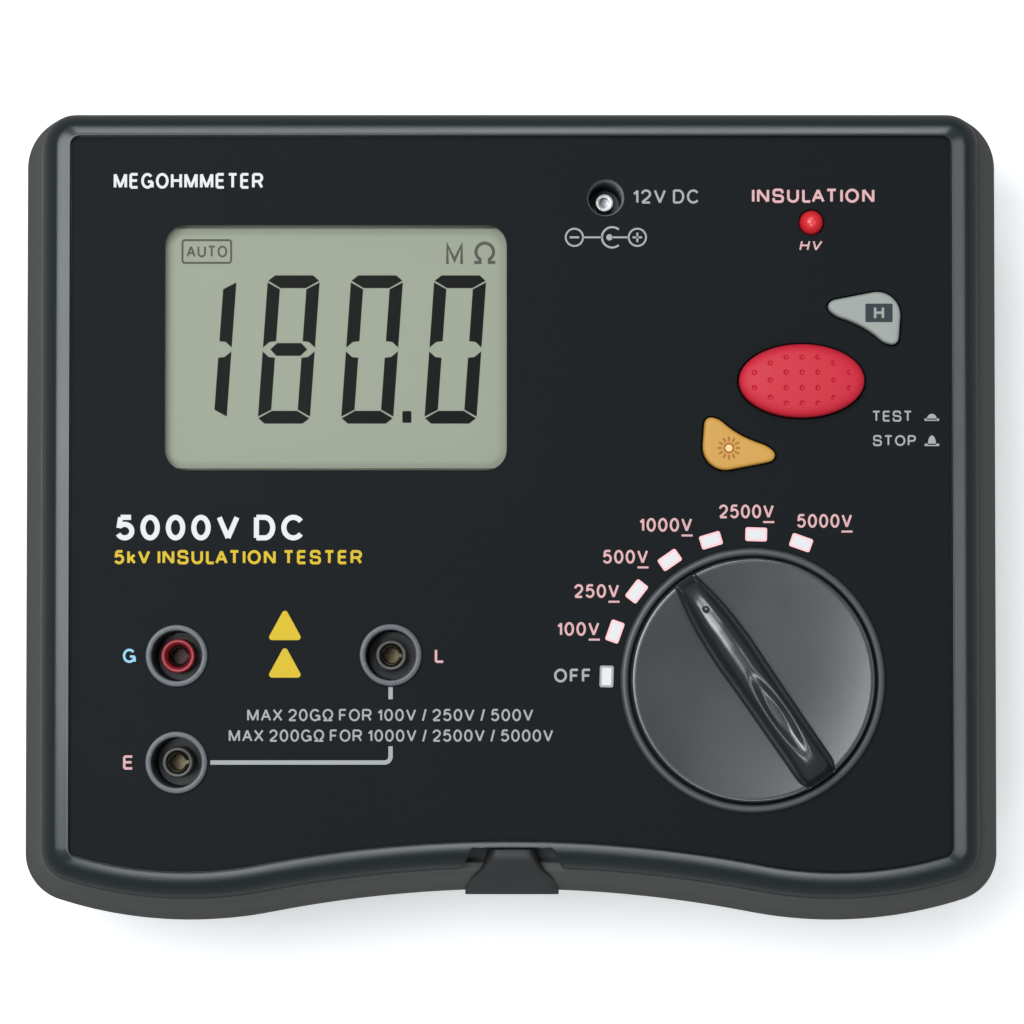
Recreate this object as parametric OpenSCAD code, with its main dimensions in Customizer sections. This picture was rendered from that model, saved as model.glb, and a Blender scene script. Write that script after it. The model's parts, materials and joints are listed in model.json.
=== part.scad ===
// Case-type insulation resistance tester. A moulded lower case carries the cells and the high-voltage
// board, and a moulded upper case carries the panel: display, sockets, keys, range selector and main board.
// The tester lies on its back on four feet. +Z points out of the panel, +X to its right, +Y to its rear.

/* [Case] */
// Width of the lower case at its widest
case_w = 250; // [248:0.5:252]
// Depth from the rear face to the front of the two lobes
case_d = 206.4; // [205:0.2:208]
// Height of the bezel's top edge above the surface that the feet stand on
bezel_z = 77; // [76.5:0.1:78]
// Corner radius of the lower case
corner_r = 12.5; // [11:0.1:13]
// Radius of each convex lobe of the front edge
lobe_r = 110.9; // [109:0.1:112]
// Sideways distance of each lobe's centre
lobe_x = 82.5; // [80:0.5:84]
// Radius of the concave middle of the front edge
wave_r = 324.1; // [320:1:330]
// Thickness of the deck under the panel overlay
deck_t = 2.8; // [2.4:0.1:3.2]
// Width of the lid-catch notch in the bezel
notch_w = 21.6; // [20:0.1:23]
// Height of the rubber feet below the case
foot_h = 3; // [2.5:0.1:3.5]

/* [Selector] */
// Radius of the selector knob's disc
knob_r = 30.9; // [30:0.1:31.2]
// Height of the knob's ridge above the panel
knob_h = 13.4; // [12:0.1:15]
// Radius of the collar's bore round the knob
collar_r = 32.2; // [31.8:0.1:32.6]
// Radius of the selector shaft
shaft_r = 3; // [2.8:0.1:3.2]
// Direction of the pointer at rest, from +X
pointer_deg = 124.5; // [120:0.5:130]

/* [Keys] */
// Half width of the oval test key
test_a = 15.9; // [15:0.1:16.5]
// Half depth of the oval test key
test_b = 9.3; // [9:0.1:9.8]
// Height of the test key's crown above the panel
test_h = 4.6; // [4:0.1:6]
// Height of the two small keys above the panel
key_h = 2.2; // [1.8:0.1:3]
// Gap between a key and its opening
key_gap = 0.4; // [0.3:0.05:0.5]

/* [Sockets] */
// Radius of the shrouded opening of a test socket
socket_r = 6.35; // [6:0.05:6.5]
// Bore radius of a socket's contact, for a 4 mm plug
contact_bore_r = 2.05; // [2.02:0.01:2.1]
// Radius of the charging inlet's opening
dc_r = 4.8; // [4.5:0.1:5]

/* [Display] */
// Width of the display window
lcd_w = 86.5; // [84:0.5:88]
// Depth of the display window
lcd_d = 62.1; // [60:0.1:64]
// Corner radius of the display window
lcd_r = 5.3; // [4:0.1:6]

/* [Cells] */
// Diameter of one cell
cell_d = 14.4; // [13.8:0.1:14.5]
// Length of one cell
cell_l = 50.4; // [49.5:0.1:50.5]

/* [Hidden] */

$fn = 64;
eps = 0.01;
rear_y = case_d / 2;
lobe_y = lobe_r - case_d / 2;
wave_y = lobe_y - sqrt(pow(wave_r + lobe_r, 2) - pow(lobe_x, 2));
front_y = wave_y + wave_r;            // middle of the lower case's front edge
wave_deg = asin(lobe_x / (wave_r + lobe_r));

part_z = bezel_z - 13;                // parting line of the two shells
deck_z = bezel_z - 2;                 // top of the deck
overlay_t = 0.4;
panel_z = deck_z + overlay_t;         // visible panel surface
under_z = deck_z - deck_t;            // underside of the deck
base_z = foot_h + 0.8;                // underside of the floor, inside its rim
floor_z = base_z + 4.2;               // inside of the floor
board_t = 1.6;
board_z = 57;                         // underside of the main board
power_z = 30;                         // underside of the power board
board_top = board_z + board_t;
power_top = power_z + board_t;

// Panel positions
knob_at = [61.2, -41.6];
test_at = [73.7, 34.3];
lcd_at = [-44.5, 42.9];
led_at = [76.3, 74.7];
dc_at = [24, 81.1];
line_at = [-30.5, -35.2];
earth_at = [-84.7, -62.4];
guard_at = [-84.7, -35.4];
key_post = [19.2, 16.7];              // middle of a small key, in the oval key's axes
hold_dir = 0;
light_dir = 180;

// Shell screws, board screws and feet
boss_at = [[107.5, 88], [-107.5, 88], [107.5, 0], [-107.5, 0], [107.5, -78], [-107.5, -78]];
post_at = [[94, 84], [-94, 84], [0, 84], [94, -76], [-94, -76], [6, -74]];
power_post_at = [[-94, -24], [20, -24], [-94, -78], [20, -78]];
foot_at = [[96, 80], [-96, 80], [96, -74], [-96, -74]];

/* Outlines. A section is [z, side inset, rear inset, front inset] from the widest outline. */

function arc(c, r, a0, a1, n) =
  [for (i = [0:n]) let (a = a0 + (a1 - a0) * i / n) [c.x + r * cos(a), c.y + r * sin(a)]];

function half_outline(side, rear, front) =
  let (hw = case_w / 2 - side,
       r = corner_r - 0.77 * side,
       lr = lobe_r - front,
       cy = lobe_y - sqrt(pow(lr - r, 2) - pow(hw - r - lobe_x, 2)),
       ca = atan2(cy - lobe_y, hw - r - lobe_x))
  concat(arc([0, wave_y], wave_r + front, 90, 90 - wave_deg, 6),
         arc([lobe_x, lobe_y], lr, 270 - wave_deg + 3, 360 + ca - 2, 8),
         arc([hw - r, cy], r, 360 + ca, 360, 5),
         arc([hw - r, rear_y - rear - r], r, 0, 90, 6));

function outline(side, rear, front) =
  let (half = half_outline(side, rear, front), n = len(half))
  concat(half, [for (i = [n - 1:-1:1]) [-half[i].x, half[i].y]]);

function ellipse(a, b, n) = [for (i = [0:n - 1]) [a * cos(360 * i / n), b * sin(360 * i / n)]];

// Faces between ring j and ring k of n points each
function band(j, k, n) =
  [for (i = [0:n - 1]) let (m = (i + 1) % n)
    each [[j * n + i, k * n + i, k * n + m], [j * n + i, k * n + m, j * n + m]]];

// A closed wall whose cross-section is the loop of sections
module wall_loft(sections) {
  rings = [for (s = sections) [for (p = outline(s[1], s[2], s[3])) [p.x, p.y, s[0]]]];
  n = len(rings[0]);
  m = len(rings);
  polyhedron([for (r = rings) each r], [for (j = [0:m - 1]) each band(j, (j + 1) % m, n)]);
}

// A closed solid through a stack of rings, with flat ends fanned round their middles
module stack_loft(rings) {
  n = len(rings[0]);
  m = len(rings);
  low = m * n;
  mid = function(r) [for (k = [0:2]) [for (p = r) p[k]] * [for (p = r) 1 / n]];
  polyhedron(
    concat([for (r = rings) each r], [mid(rings[0]), mid(rings[m - 1])]),
    concat([for (j = [0:m - 2]) each band(j, j + 1, n)],
           [for (i = [0:n - 1]) [low, i, (i + 1) % n]],
           [for (i = [0:n - 1]) [low + 1, (m - 1) * n + (i + 1) % n, (m - 1) * n + i]]));
}

module plate(side, rear, front, z0, z1) {
  translate([0, 0, z0]) linear_extrude(z1 - z0) polygon(outline(side, rear, front));
}

module block(w, d, z0, z1, at = [0, 0]) {
  translate([at.x - w / 2, at.y - d / 2, z0]) cube([w, d, z1 - z0]);
}

module post(r, z0, z1, at = [0, 0]) {
  translate([at.x, at.y, z0]) cylinder(r = r, h = z1 - z0);
}

module rounded_rect(w, d, r) {
  for (x = [-1, 1], y = [-1, 1]) translate([x * (w / 2 - r), y * (d / 2 - r)]) circle(r = r);
  square([w, d - 2 * r], center = true);
  square([w - 2 * r, d], center = true);
}

module rounded_block(w, d, r, z0, z1, at = [0, 0]) {
  translate([at.x, at.y, z0]) linear_extrude(z1 - z0) rounded_rect(w, d, r);
}

module pipe(r_out, r_in, z0, z1, at = [0, 0]) {
  difference() {
    post(r_out, z0, z1, at);
    post(r_in, z0 - 1, z1 + 1, at);
  }
}

// Curved three-cornered key beside the oval key, in the oval key's own axes
module key_shape() {
  difference() {
    hull() {
      translate([8.4, 18.9]) circle(r = 1.7, $fn = 24);
      translate(key_post) circle(r = 5.9, $fn = 32);
      translate([23, 10.9]) circle(r = 1.7, $fn = 24);
    }
    polygon(ellipse(25, 17.5, 72));
  }
}

module key_at(dir) {
  translate([test_at.x, test_at.y]) rotate(dir) children();
}

/* Case */

upper_sections = [
  [part_z, 5.3, 0, 5.9], [part_z + 2, 5.35, 0.05, 5.95], [part_z + 5.5, 5.9, 0.5, 6.4],
  [part_z + 8.6, 6.9, 1.2, 7.3], [part_z + 10.8, 8, 2, 8.3], [part_z + 12.2, 9.1, 2.8, 9.2],
  [bezel_z, 10.2, 3.9, 10.3], [bezel_z, 12.2, 5.7, 12.1], [panel_z, 13.2, 6.6, 13],
  [under_z + 1.6, 13.2, 6.6, 13], [under_z - 2.2, 9.8, 4.8, 10.4], [part_z - 2.5, 9.8, 4.8, 10.4],
  [part_z - 2.5, 8.15, 3.2, 8.75], [part_z, 8.15, 3.2, 8.75]];

lower_sections = [
  [foot_h + 0.4, 8, 8, 8], [foot_h + 1.2, 5.8, 5.8, 5.8], [foot_h + 3.5, 4.4, 4.4, 4.4],
  [foot_h + 9, 3.6, 3.2, 3.6], [32, 1.4, 1, 1.4], [46, 0.2, 0.1, 0.2], [50, 0, 0, 0],
  [54, 0.2, 0, 0.2], [58.5, 1.1, 0, 1.2], [part_z - 2, 2.8, 0, 3], [part_z, 4.9, 0, 5.5],
  [part_z, 7.9, 3, 8.5], [part_z - 5.5, 5.2, 3, 5.4], [48, 3.2, 3, 3.2], [foot_h + 12, 6.6, 6.2, 6.6],
  [foot_h + 6, 9.6, 9.6, 9.6], [foot_h + 0.4, 12, 12, 12]];

notch_y = front_y + 11.3;             // rear wall of the notch
catch_w = 24.8;
catch_x = 0.25;

module notch_cut() {
  rounded_block(notch_w, 24, 0.8, part_z - 3, bezel_z + 3, [catch_x, notch_y - 12]);
}

module upper_case() color([0.24, 0.27, 0.29]) {
  difference() {
    union() {
      wall_loft(upper_sections);
      plate(10.9, 4.5, 11, under_z, deck_z);
      for (p = boss_at) post(4.6, 58.3, under_z + 1, p);
      for (p = post_at) post(3.4, board_top, under_z + 1, p);
    }
    for (p = boss_at) post(1.55, 50, under_z - 2, p);
    for (p = post_at) post(1.25, 50, under_z - 2, p);
    notch_cut();
    rounded_block(lcd_w + 0.3, lcd_d + 0.3, lcd_r, under_z - 1, bezel_z, lcd_at);
    for (p = [line_at, earth_at, guard_at]) post(7.6, under_z - 1, bezel_z, p);
    post(6.1, under_z - 1, bezel_z, knob_at);
    post(dc_r, under_z - 1, bezel_z, dc_at);
    post(3.3, under_z - 1, bezel_z, led_at);
    translate([test_at.x, test_at.y, under_z - 1]) linear_extrude(10)
      polygon(ellipse(test_a + key_gap, test_b + key_gap, 48));
    for (d = [hold_dir, light_dir]) translate([0, 0, under_z - 1]) linear_extrude(10)
      key_at(d) offset(r = key_gap, $fn = 32) key_shape();
  }
}

bay_at = [0, 12];                     // middle of the cell bay
bay_w = 108;
bay_d = 66;
cover_z = base_z + 0.1;               // outer face of the battery cover
cover_screw_at = [for (s = [-1, 1]) [bay_at.x + s * 40, bay_at.y + bay_d / 2 + 4.2]];

module lower_case() color([0.36, 0.36, 0.36]) {
  difference() {
    union() {
      wall_loft(lower_sections);
      plate(9.1, 9.1, 9.1, base_z, floor_z);
      for (p = boss_at) post(5.4, floor_z - 1, 58, p);
      for (p = power_post_at) post(3.2, floor_z - 1, power_z, p);
      block(bay_w + 4.4, bay_d + 4.4, floor_z - 1, 25, bay_at);
      catch_ramp();
    }
    for (p = boss_at) {
      post(2.2, foot_h - 1, 60, p);
      post(4.2, foot_h - 1, 46, p);
    }
    for (p = power_post_at) post(1.25, power_z - 12, power_z + 1, p);
    for (p = foot_at) post(7.2, foot_h - 1, base_z + 0.8, p);
    block(bay_w, bay_d, foot_h - 1, 30, bay_at);
    rounded_block(bay_w + 8, bay_d + 17, 3, foot_h - 1, base_z + 2.3, bay_at);
    for (p = cover_screw_at) post(1.25, foot_h, floor_z - 0.4, p);
  }
}

// Right half of the ramp's plan: narrow at the top of the slope, widening towards the front
ramp_plan = [
  [10.5, front_y], [10.2, front_y + 4], [8.6, front_y + 6.4], [7.2, front_y + 8.2], [7.2, notch_y]];

// Sloping catch ramp that rises through the bezel's notch, with the tab that the lid hooks on
module catch_ramp() {
  intersection() {
    translate([catch_x, 0, 0]) rotate([90, 0, 90]) linear_extrude(notch_w, center = true)
      polygon([[front_y + 2.6, 50], [front_y + 0.8, part_z - 3], [front_y + 3, part_z + 2.5],
               [notch_y - 2.6, deck_z - 2], [notch_y - 0.4, deck_z - 2], [notch_y - 0.4, part_z - 6],
               [front_y + 8, 50]]);
    translate([catch_x, 0, 0]) linear_extrude(bezel_z)
      polygon([for (p = ramp_plan) p, for (i = [len(ramp_plan) - 1:-1:0]) [-ramp_plan[i].x, ramp_plan[i].y]]);
  }
  block(catch_w, 6, part_z - 5.4, part_z - 3.2, [catch_x, front_y + 1.8]);
}

module panel_overlay() color([0.14, 0.155, 0.165]) {
  difference() {
    plate(13.35, 6.75, 13.15, deck_z, panel_z);
    rounded_block(lcd_w + 0.3, lcd_d + 0.3, lcd_r, deck_z - 1, bezel_z, lcd_at);
    for (p = [line_at, earth_at, guard_at]) post(7.6, deck_z - 1, bezel_z, p);
    post(9.2, deck_z - 1, bezel_z, knob_at);
    post(dc_r, deck_z - 1, bezel_z, dc_at);
    post(3.3, deck_z - 1, bezel_z, led_at);
    translate([test_at.x, test_at.y, deck_z - 1]) linear_extrude(4)
      polygon(ellipse(test_a + key_gap, test_b + key_gap, 48));
    for (d = [hold_dir, light_dir]) translate([0, 0, deck_z - 1]) linear_extrude(4)
      key_at(d) offset(r = key_gap, $fn = 32) key_shape();
  }
}

module battery_cover() color([0.33, 0.33, 0.33]) {
  difference() {
    rounded_block(bay_w + 7.4, bay_d + 16.4, 2.8, cover_z, cover_z + 2.1, bay_at);
    for (p = cover_screw_at) {
      post(1.6, foot_h - 1, floor_z, p);
      post(3, foot_h - 1, cover_z + 1, p);
    }
    for (i = [-3:3]) block(30, 1.6, foot_h - 1, cover_z + 0.7, [bay_at.x, bay_at.y - 24 + 3 * i]);
  }
}

// A cross-recessed pan-head screw with its head down, from the head's outer face up
module screw_up(head_r, head_h, shank_r, length, at, z) {
  difference() {
    union() {
      post(head_r, z, z + head_h, at);
      post(shank_r, z + head_h - eps, z + length, at);
    }
    for (a = [0, 90]) translate([at.x, at.y, z]) rotate(a) cube([head_r, 0.7, head_h], center = true);
  }
}

module battery_cover_screws() color([0.7, 0.7, 0.72]) {
  for (p = cover_screw_at) screw_up(2.8, 0.9, 1.2, 3.6, p, cover_z + 0.1);
}

module case_screws() color([0.7, 0.7, 0.72]) {
  for (p = boss_at) screw_up(3.8, 2.6, 1.5, 21, p, 43.4);
}

module rubber_feet() color([0.12, 0.12, 0.12]) {
  for (p = foot_at) difference() {
    post(7, 0, base_z + 0.8, p);
    post(2.2, -1, 0.8, p);
  }
}

/* Display */

lcd_glass_z = under_z - 3.2;

module lcd_window() color([0.72, 0.75, 0.68, 0.6]) {
  rounded_block(lcd_w, lcd_d, lcd_r, deck_z - 1.6, panel_z - 0.1, lcd_at);
}

module lcd_glass() color([0.65, 0.68, 0.6]) {
  block(lcd_w + 2, lcd_d - 1, lcd_glass_z, lcd_glass_z + 2.8, lcd_at);
  block(lcd_w + 2, lcd_d + 7, lcd_glass_z, lcd_glass_z + 1.4, lcd_at);
}

module lcd_holder() color([0.85, 0.85, 0.83]) {
  difference() {
    block(lcd_w + 5, lcd_d + 10, board_top, under_z - 0.2, lcd_at);
    block(lcd_w + 2.4, lcd_d + 7.4, lcd_glass_z - 0.1, under_z + 1, lcd_at);
    block(lcd_w - 4, lcd_d - 7, board_top - 1, under_z + 1, lcd_at);
    for (s = [-1, 1])
      block(lcd_w - 8, 3, board_top - 1, under_z, [lcd_at.x, lcd_at.y + s * (lcd_d / 2 + 1.6)]);
  }
  for (x = [-1, 1]) difference() {
    post(2.8, board_top, board_top + 3, [lcd_at.x + x * (lcd_w / 2 + 4.9), lcd_at.y]);
    post(1.25, board_top - 1, board_top + 4, [lcd_at.x + x * (lcd_w / 2 + 4.9), lcd_at.y]);
  }
}

module backlight_panel() color([0.95, 0.75, 0.4]) {
  block(lcd_w - 5, lcd_d - 8, lcd_glass_z - 3.6, lcd_glass_z - 0.1, lcd_at);
}

module zebra_strips() color([0.5, 0.5, 0.55]) {
  for (s = [-1, 1])
    block(lcd_w - 9, 2.4, board_top, lcd_glass_z, [lcd_at.x, lcd_at.y + s * (lcd_d / 2 + 1.6)]);
}

module lcd_holder_screws() color([0.7, 0.7, 0.72]) {
  for (x = [-1, 1])
    screw_up(2.4, 1.6, 1.1, 5.6, [lcd_at.x + x * (lcd_w / 2 + 4.9), lcd_at.y], board_z - 1.6);
}

/* Selector */

knob_z0 = panel_z + 0.6;              // underside of the disc's rim
knob_z1 = panel_z + 5;                // top of the disc at its rim
knob_top = panel_z + knob_h;
clip_r = 5;

// Half width of the ridge's base at distances from the knob's axis, from the thumb end to the pointer
ridge_plan = [
  [-knob_r - 1, 3.2], [-29.5, 4.1], [-27.5, 4.7], [-20, 4.75], [0, 4.9], [9, 5.1], [17.5, 4.7],
  [21.7, 4.2], [26, 3.45], [knob_r + 1, 2.3]];

module knob_plan_ridge(inset) {
  n = len(ridge_plan);
  polygon(concat([for (p = ridge_plan) [p.x, p.y - inset]],
                 [for (i = [n - 1:-1:0]) [ridge_plan[i].x, inset - ridge_plan[i].y]]));
}

module selector_knob() color([0.38, 0.4, 0.42]) {
  translate([knob_at.x, knob_at.y, 0]) rotate(pointer_deg) difference() {
    union() {
      rotate_extrude() polygon([[0, knob_z0], [knob_r, knob_z0], [knob_r, knob_z1 - 1.6],
                                [knob_r - 1.2, knob_z1 - 0.4], [knob_r - 3.4, knob_z1], [0, knob_z1]]);
      intersection() {
        union() {
          translate([0, 0, knob_z1 - 1]) linear_extrude(knob_top - knob_z1 - 1) knob_plan_ridge(0);
          translate([0, 0, knob_z1 - 1]) linear_extrude(knob_top - knob_z1 + 1) knob_plan_ridge(1.1);
        }
        rotate_extrude() polygon([[0, knob_z0], [knob_r - 1.3, knob_z0], [knob_r - 1.3, knob_top - 4],
                                  [knob_r - 3, knob_top - 1.2], [knob_r - 6, knob_top], [0, knob_top]]);
      }
    }
    // Hollow underside round the hub, the clip's pocket and the shaft's bore
    pipe(28, 9, knob_z0 - 2, knob_z1 - 2);
    pipe(clip_r + 0.7, clip_r, knob_z0 - 2, knob_z0 + 3.2);
    post(shaft_r + 0.03, knob_z0 - 1, knob_z0 + 5.4);
    translate([21.6, 0, knob_top - 1]) cylinder(r = 0.75, h = 2, $fn = 24);
    translate([-10.3, 0, knob_top - 1.6]) linear_extrude(3) rounded_rect(27.2, 5.4, 2.6);
  }
}

module knob_collar() color([0.5, 0.53, 0.55]) {
  translate([knob_at.x, knob_at.y, 0]) rotate_extrude($fn = 96)
    polygon([[collar_r, panel_z], [collar_r + 1.4, panel_z], [collar_r + 1.4, panel_z + 1],
             [collar_r + 0.9, panel_z + 1.6], [collar_r, panel_z + 1.6]]);
}

module knob_shaft() color([0.75, 0.75, 0.76]) {
  post(shaft_r, board_top + 1.6, knob_z0 + 5.2, knob_at);
}

// Spring ring that grips the hub on the shaft
module knob_clip() color([0.7, 0.7, 0.72]) {
  pipe(clip_r + 0.65, clip_r + 0.05, knob_z0 + 0.2, knob_z0 + 3.1, knob_at);
}

rotor_r = 26;
teeth = 20;                           // detent steps in a full turn, 18 degrees each

module switch_rotor() color([0.9, 0.88, 0.8]) {
  difference() {
    union() {
      post(rotor_r, board_top + 1.6, board_top + 3.6, knob_at);
      post(7, board_top + 3.6 - eps, board_top + 4.6, knob_at);
    }
    post(shaft_r + 0.02, board_top, board_top + 6, knob_at);
  }
  // Sliding contact fingers under the rotor
  for (r = [12, 17, 22]) translate([knob_at.x, knob_at.y, board_top + 0.3]) rotate(pointer_deg)
    translate([r, 0, 0]) cube([3, 1.6, 1.3]);
}

module detent_wheel() color([0.9, 0.9, 0.9]) {
  difference() {
    post(15, board_top + 4.6, board_top + 8.2, knob_at);
    post(shaft_r + 0.02, board_top + 4, board_top + 9, knob_at);
    translate([knob_at.x, knob_at.y, 0]) for (i = [0:teeth - 1])
      rotate(pointer_deg + i * 360 / teeth) post(1.9, board_top + 4, board_top + 10, [15.7, 0]);
  }
}

module detent_spring() color([0.75, 0.75, 0.76]) {
  translate([knob_at.x, knob_at.y, 0]) rotate(pointer_deg + 90) {
    post(1.4, board_top + 4.8, board_top + 8, [16.8, 0]);
    block(0.6, 24, board_top + 4.8, board_top + 8, [18.4, 0]);
    for (s = [-1, 1]) post(1.6, board_top + 4.8, under_z, [19.7, s * 12]);
  }
}

module shaft_bushing() color([0.8, 0.78, 0.7]) {
  difference() {
    union() {
      post(6, board_top + 8.8, panel_z + 0.3, knob_at);
      post(8.6, board_top + 8.8, under_z, knob_at);
    }
    post(shaft_r + 0.06, board_top, bezel_z, knob_at);
  }
}

module bushing_nut() color([0.75, 0.75, 0.76]) {
  difference() {
    translate([knob_at.x, knob_at.y, deck_z]) cylinder(r = 9, h = 0.7, $fn = 6);
    post(6.02, deck_z - 1, bezel_z, knob_at);
  }
}

/* Keys */

test_skirt_z = under_z - 1.8;
key_skirt_z = under_z - 1;
switch_z = board_top + 6;             // top of the test switch's housing

// Rings of an oval key: skirt, straight side and a rounded crown
function oval_rings(a, b, z0, z1, top_z, n) = concat(
  [for (z = [z0, z1]) [for (p = ellipse(a, b, n)) [p.x, p.y, z]]],
  [for (t = [20, 40, 60, 75]) let (s = 1 - 0.22 * (1 - cos(t)))
    [for (p = ellipse(a * s, b * s, n)) [p.x, p.y, z1 + (top_z - z1) * sin(t)]]]);

module test_button() color([0.85, 0.24, 0.31]) {
  translate([test_at.x, test_at.y, 0]) difference() {
    stack_loft(oval_rings(test_a, test_b, test_skirt_z, panel_z + test_h - 2.6, panel_z + test_h, 48));
    translate([0, 0, test_skirt_z - 1]) linear_extrude(5) polygon(ellipse(test_a - 1.6, test_b - 1.6, 48));
    cylinder(r = 2.5, h = test_skirt_z + 5.4);
  }
}

module test_plunger() color([0.9, 0.9, 0.88]) {
  post(2.5, switch_z - 2.4, test_skirt_z + 5.4, test_at);
  post(4.6, test_skirt_z + 2.6, test_skirt_z + 4, test_at);
}

spring_wire_r = 0.35;
spring_r = 3.6;
spring_turns = 5;

module test_spring() color([0.75, 0.75, 0.76]) {
  z0 = switch_z + spring_wire_r + 0.05;
  z1 = test_skirt_z + 2.6 - spring_wire_r - 0.05;
  steps = 12 * spring_turns;
  rings = [for (i = [0:steps]) let (a = i * 30, z = z0 + (z1 - z0) * i / steps)
    [for (k = [0:7]) let (c = spring_r + spring_wire_r * cos(-45 * k))
      [test_at.x + c * cos(a), test_at.y + c * sin(a), z + spring_wire_r * sin(-45 * k)]]];
  stack_loft(rings);
}

module test_switch() color([0.2, 0.2, 0.22]) {
  difference() {
    block(14, 14, board_top, switch_z, test_at);
    post(2.56, switch_z - 5.8, switch_z + 1, test_at);
  }
}

module small_key() {
  translate([0, 0, key_skirt_z]) linear_extrude(panel_z + key_h - 0.7 - key_skirt_z) key_shape();
  translate([0, 0, panel_z + key_h - 0.8]) linear_extrude(0.8) offset(delta = -0.6) key_shape();
}

tact_h = 4.3;

module key_plunger() {
  translate([key_post.x, key_post.y, board_top + tact_h - 0.1])
    cylinder(r = 1.8, h = key_skirt_z - board_top - tact_h + 0.1);
}

module hold_button() color([0.66, 0.69, 0.67]) key_at(hold_dir) small_key();

module hold_plunger() color([0.85, 0.85, 0.85]) key_at(hold_dir) key_plunger();

module light_button() color([0.86, 0.62, 0.3]) key_at(light_dir) small_key();

module light_plunger() color([0.85, 0.85, 0.85]) key_at(light_dir) key_plunger();

module tact_switches() color([0.15, 0.15, 0.16]) {
  for (d = [hold_dir, light_dir]) key_at(d) translate([key_post.x, key_post.y, 0]) difference() {
    block(6, 6, board_top, board_top + tact_h - 1.7);
    post(1.4, board_top + 1.2, board_top + tact_h);
  }
}

/* Lamp and buzzer */

module hv_led() color([0.85, 0.15, 0.18]) {
  translate([led_at.x, led_at.y, 0]) rotate_extrude($fn = 48) polygon(concat(
    [[0, under_z - 2], [3, under_z - 2]], arc([0, panel_z], 3, 0, 90, 10)));
}

module led_holder() color([0.1, 0.1, 0.1]) {
  pipe(5, 3.05, board_top, under_z, led_at);
  post(3.05 + eps, board_top, under_z - 2, led_at);
}

module buzzer() color([0.12, 0.12, 0.13]) {
  pipe(7, 1, board_top, board_top + 7, [24, 40]);
}

/* Sockets */

socket_out_r = 7.5;
socket_flange_r = 7.9;
socket_base_z = 50;
contact_out_r = 3.1;
contact_z = 72;                       // mouth of a contact
contact_l = 16;

module socket_body(at) {
  difference() {
    union() {
      post(socket_out_r, socket_base_z, panel_z + 0.5, at);
      post(socket_flange_r, panel_z, panel_z + 1.1, at);
    }
    post(socket_r, socket_base_z + 4, bezel_z + 5, at);
    post(2, socket_base_z - 1, socket_base_z + 5, at);
  }
}

module socket_sleeve(at, r, mouth_r) {
  pipe(r, contact_out_r + 0.03, socket_base_z + 4, contact_z + 0.2, at);
  pipe(r, mouth_r, contact_z + 0.2, contact_z + 1.2, at);
}

module socket_contact(at) {
  difference() {
    union() {
      post(contact_out_r, socket_base_z + 4, contact_z, at);
      post(1.95, socket_base_z - 2.5, socket_base_z + 4 + eps, at);
    }
    post(contact_bore_r, contact_z - contact_l, contact_z + 1, at);
    for (a = [45, 135]) translate([at.x, at.y, contact_z]) rotate(a)
      cube([3 * contact_out_r, 0.6, 24], center = true);
  }
}

module line_socket_body() color([0.3, 0.33, 0.35]) socket_body(line_at);
module line_socket_sleeve() color([0.62, 0.62, 0.6]) socket_sleeve(line_at, 3.75, 3);
module line_socket_contact() color([0.8, 0.78, 0.72]) socket_contact(line_at);
module earth_socket_body() color([0.3, 0.33, 0.35]) socket_body(earth_at);
module earth_socket_sleeve() color([0.62, 0.62, 0.6]) socket_sleeve(earth_at, 3.75, 3);
module earth_socket_contact() color([0.8, 0.78, 0.72]) socket_contact(earth_at);
module guard_socket_body() color([0.3, 0.33, 0.35]) socket_body(guard_at);
module guard_socket_sleeve() color([0.75, 0.18, 0.22]) socket_sleeve(guard_at, 4.45, 2.35);
module guard_socket_contact() color([0.8, 0.78, 0.72]) socket_contact(guard_at);

module socket_nuts() color([0.75, 0.75, 0.76]) {
  for (p = [line_at, earth_at, guard_at]) difference() {
    translate([p.x, p.y, under_z - 3]) cylinder(r = 10.6, h = 3, $fn = 6);
    post(socket_out_r + 0.02, under_z - 4, under_z + 1, p);
  }
}

/* Charging inlet */

dc_out_r = 6.6;
dc_base_z = 49;                       // underside of the inlet's barrel
dc_pin_z = 61;                        // end of the centre pin

module dc_jack_body() color([0.1, 0.1, 0.1]) {
  difference() {
    post(dc_out_r, dc_base_z, under_z, dc_at);
    post(dc_r - 0.6, dc_base_z + 2, under_z + 1, dc_at);
    post(1, dc_base_z - 1, dc_base_z + 3, dc_at);
  }
}

module dc_jack_pin() color([0.8, 0.78, 0.72]) {
  post(0.95, dc_base_z + 0.5, dc_base_z + 2 + eps, dc_at);
  difference() {
    post(2.2, dc_base_z + 2, dc_pin_z, dc_at);
    post(1.3, dc_pin_z - 4, dc_pin_z + 1, dc_at);
  }
}

module dc_jack_nut() color([0.75, 0.75, 0.76]) {
  difference() {
    translate([dc_at.x, dc_at.y, under_z - 2.6]) cylinder(r = 9.4, h = 2.4, $fn = 6);
    post(dc_out_r + 0.02, under_z - 3, under_z + 1, dc_at);
  }
}

/* Boards and what they carry */

module main_board() color([0.1, 0.4, 0.22]) {
  difference() {
    block(200, 168, board_z, board_top, [0, 6]);
    for (p = post_at) post(1.7, board_z - 1, board_top + 1, p);
    for (p = [line_at, earth_at, guard_at]) post(8, board_z - 1, board_top + 1, p);
    post(dc_out_r + 0.4, board_z - 1, board_top + 1, dc_at);
    for (x = [-1, 1])
      post(1.3, board_z - 1, board_top + 1, [lcd_at.x + x * (lcd_w / 2 + 4.9), lcd_at.y]);
  }
}

module board_screws() color([0.7, 0.7, 0.72]) {
  for (p = post_at) screw_up(2.9, 2, 1.2, 11, p, board_z - 2);
}

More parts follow.
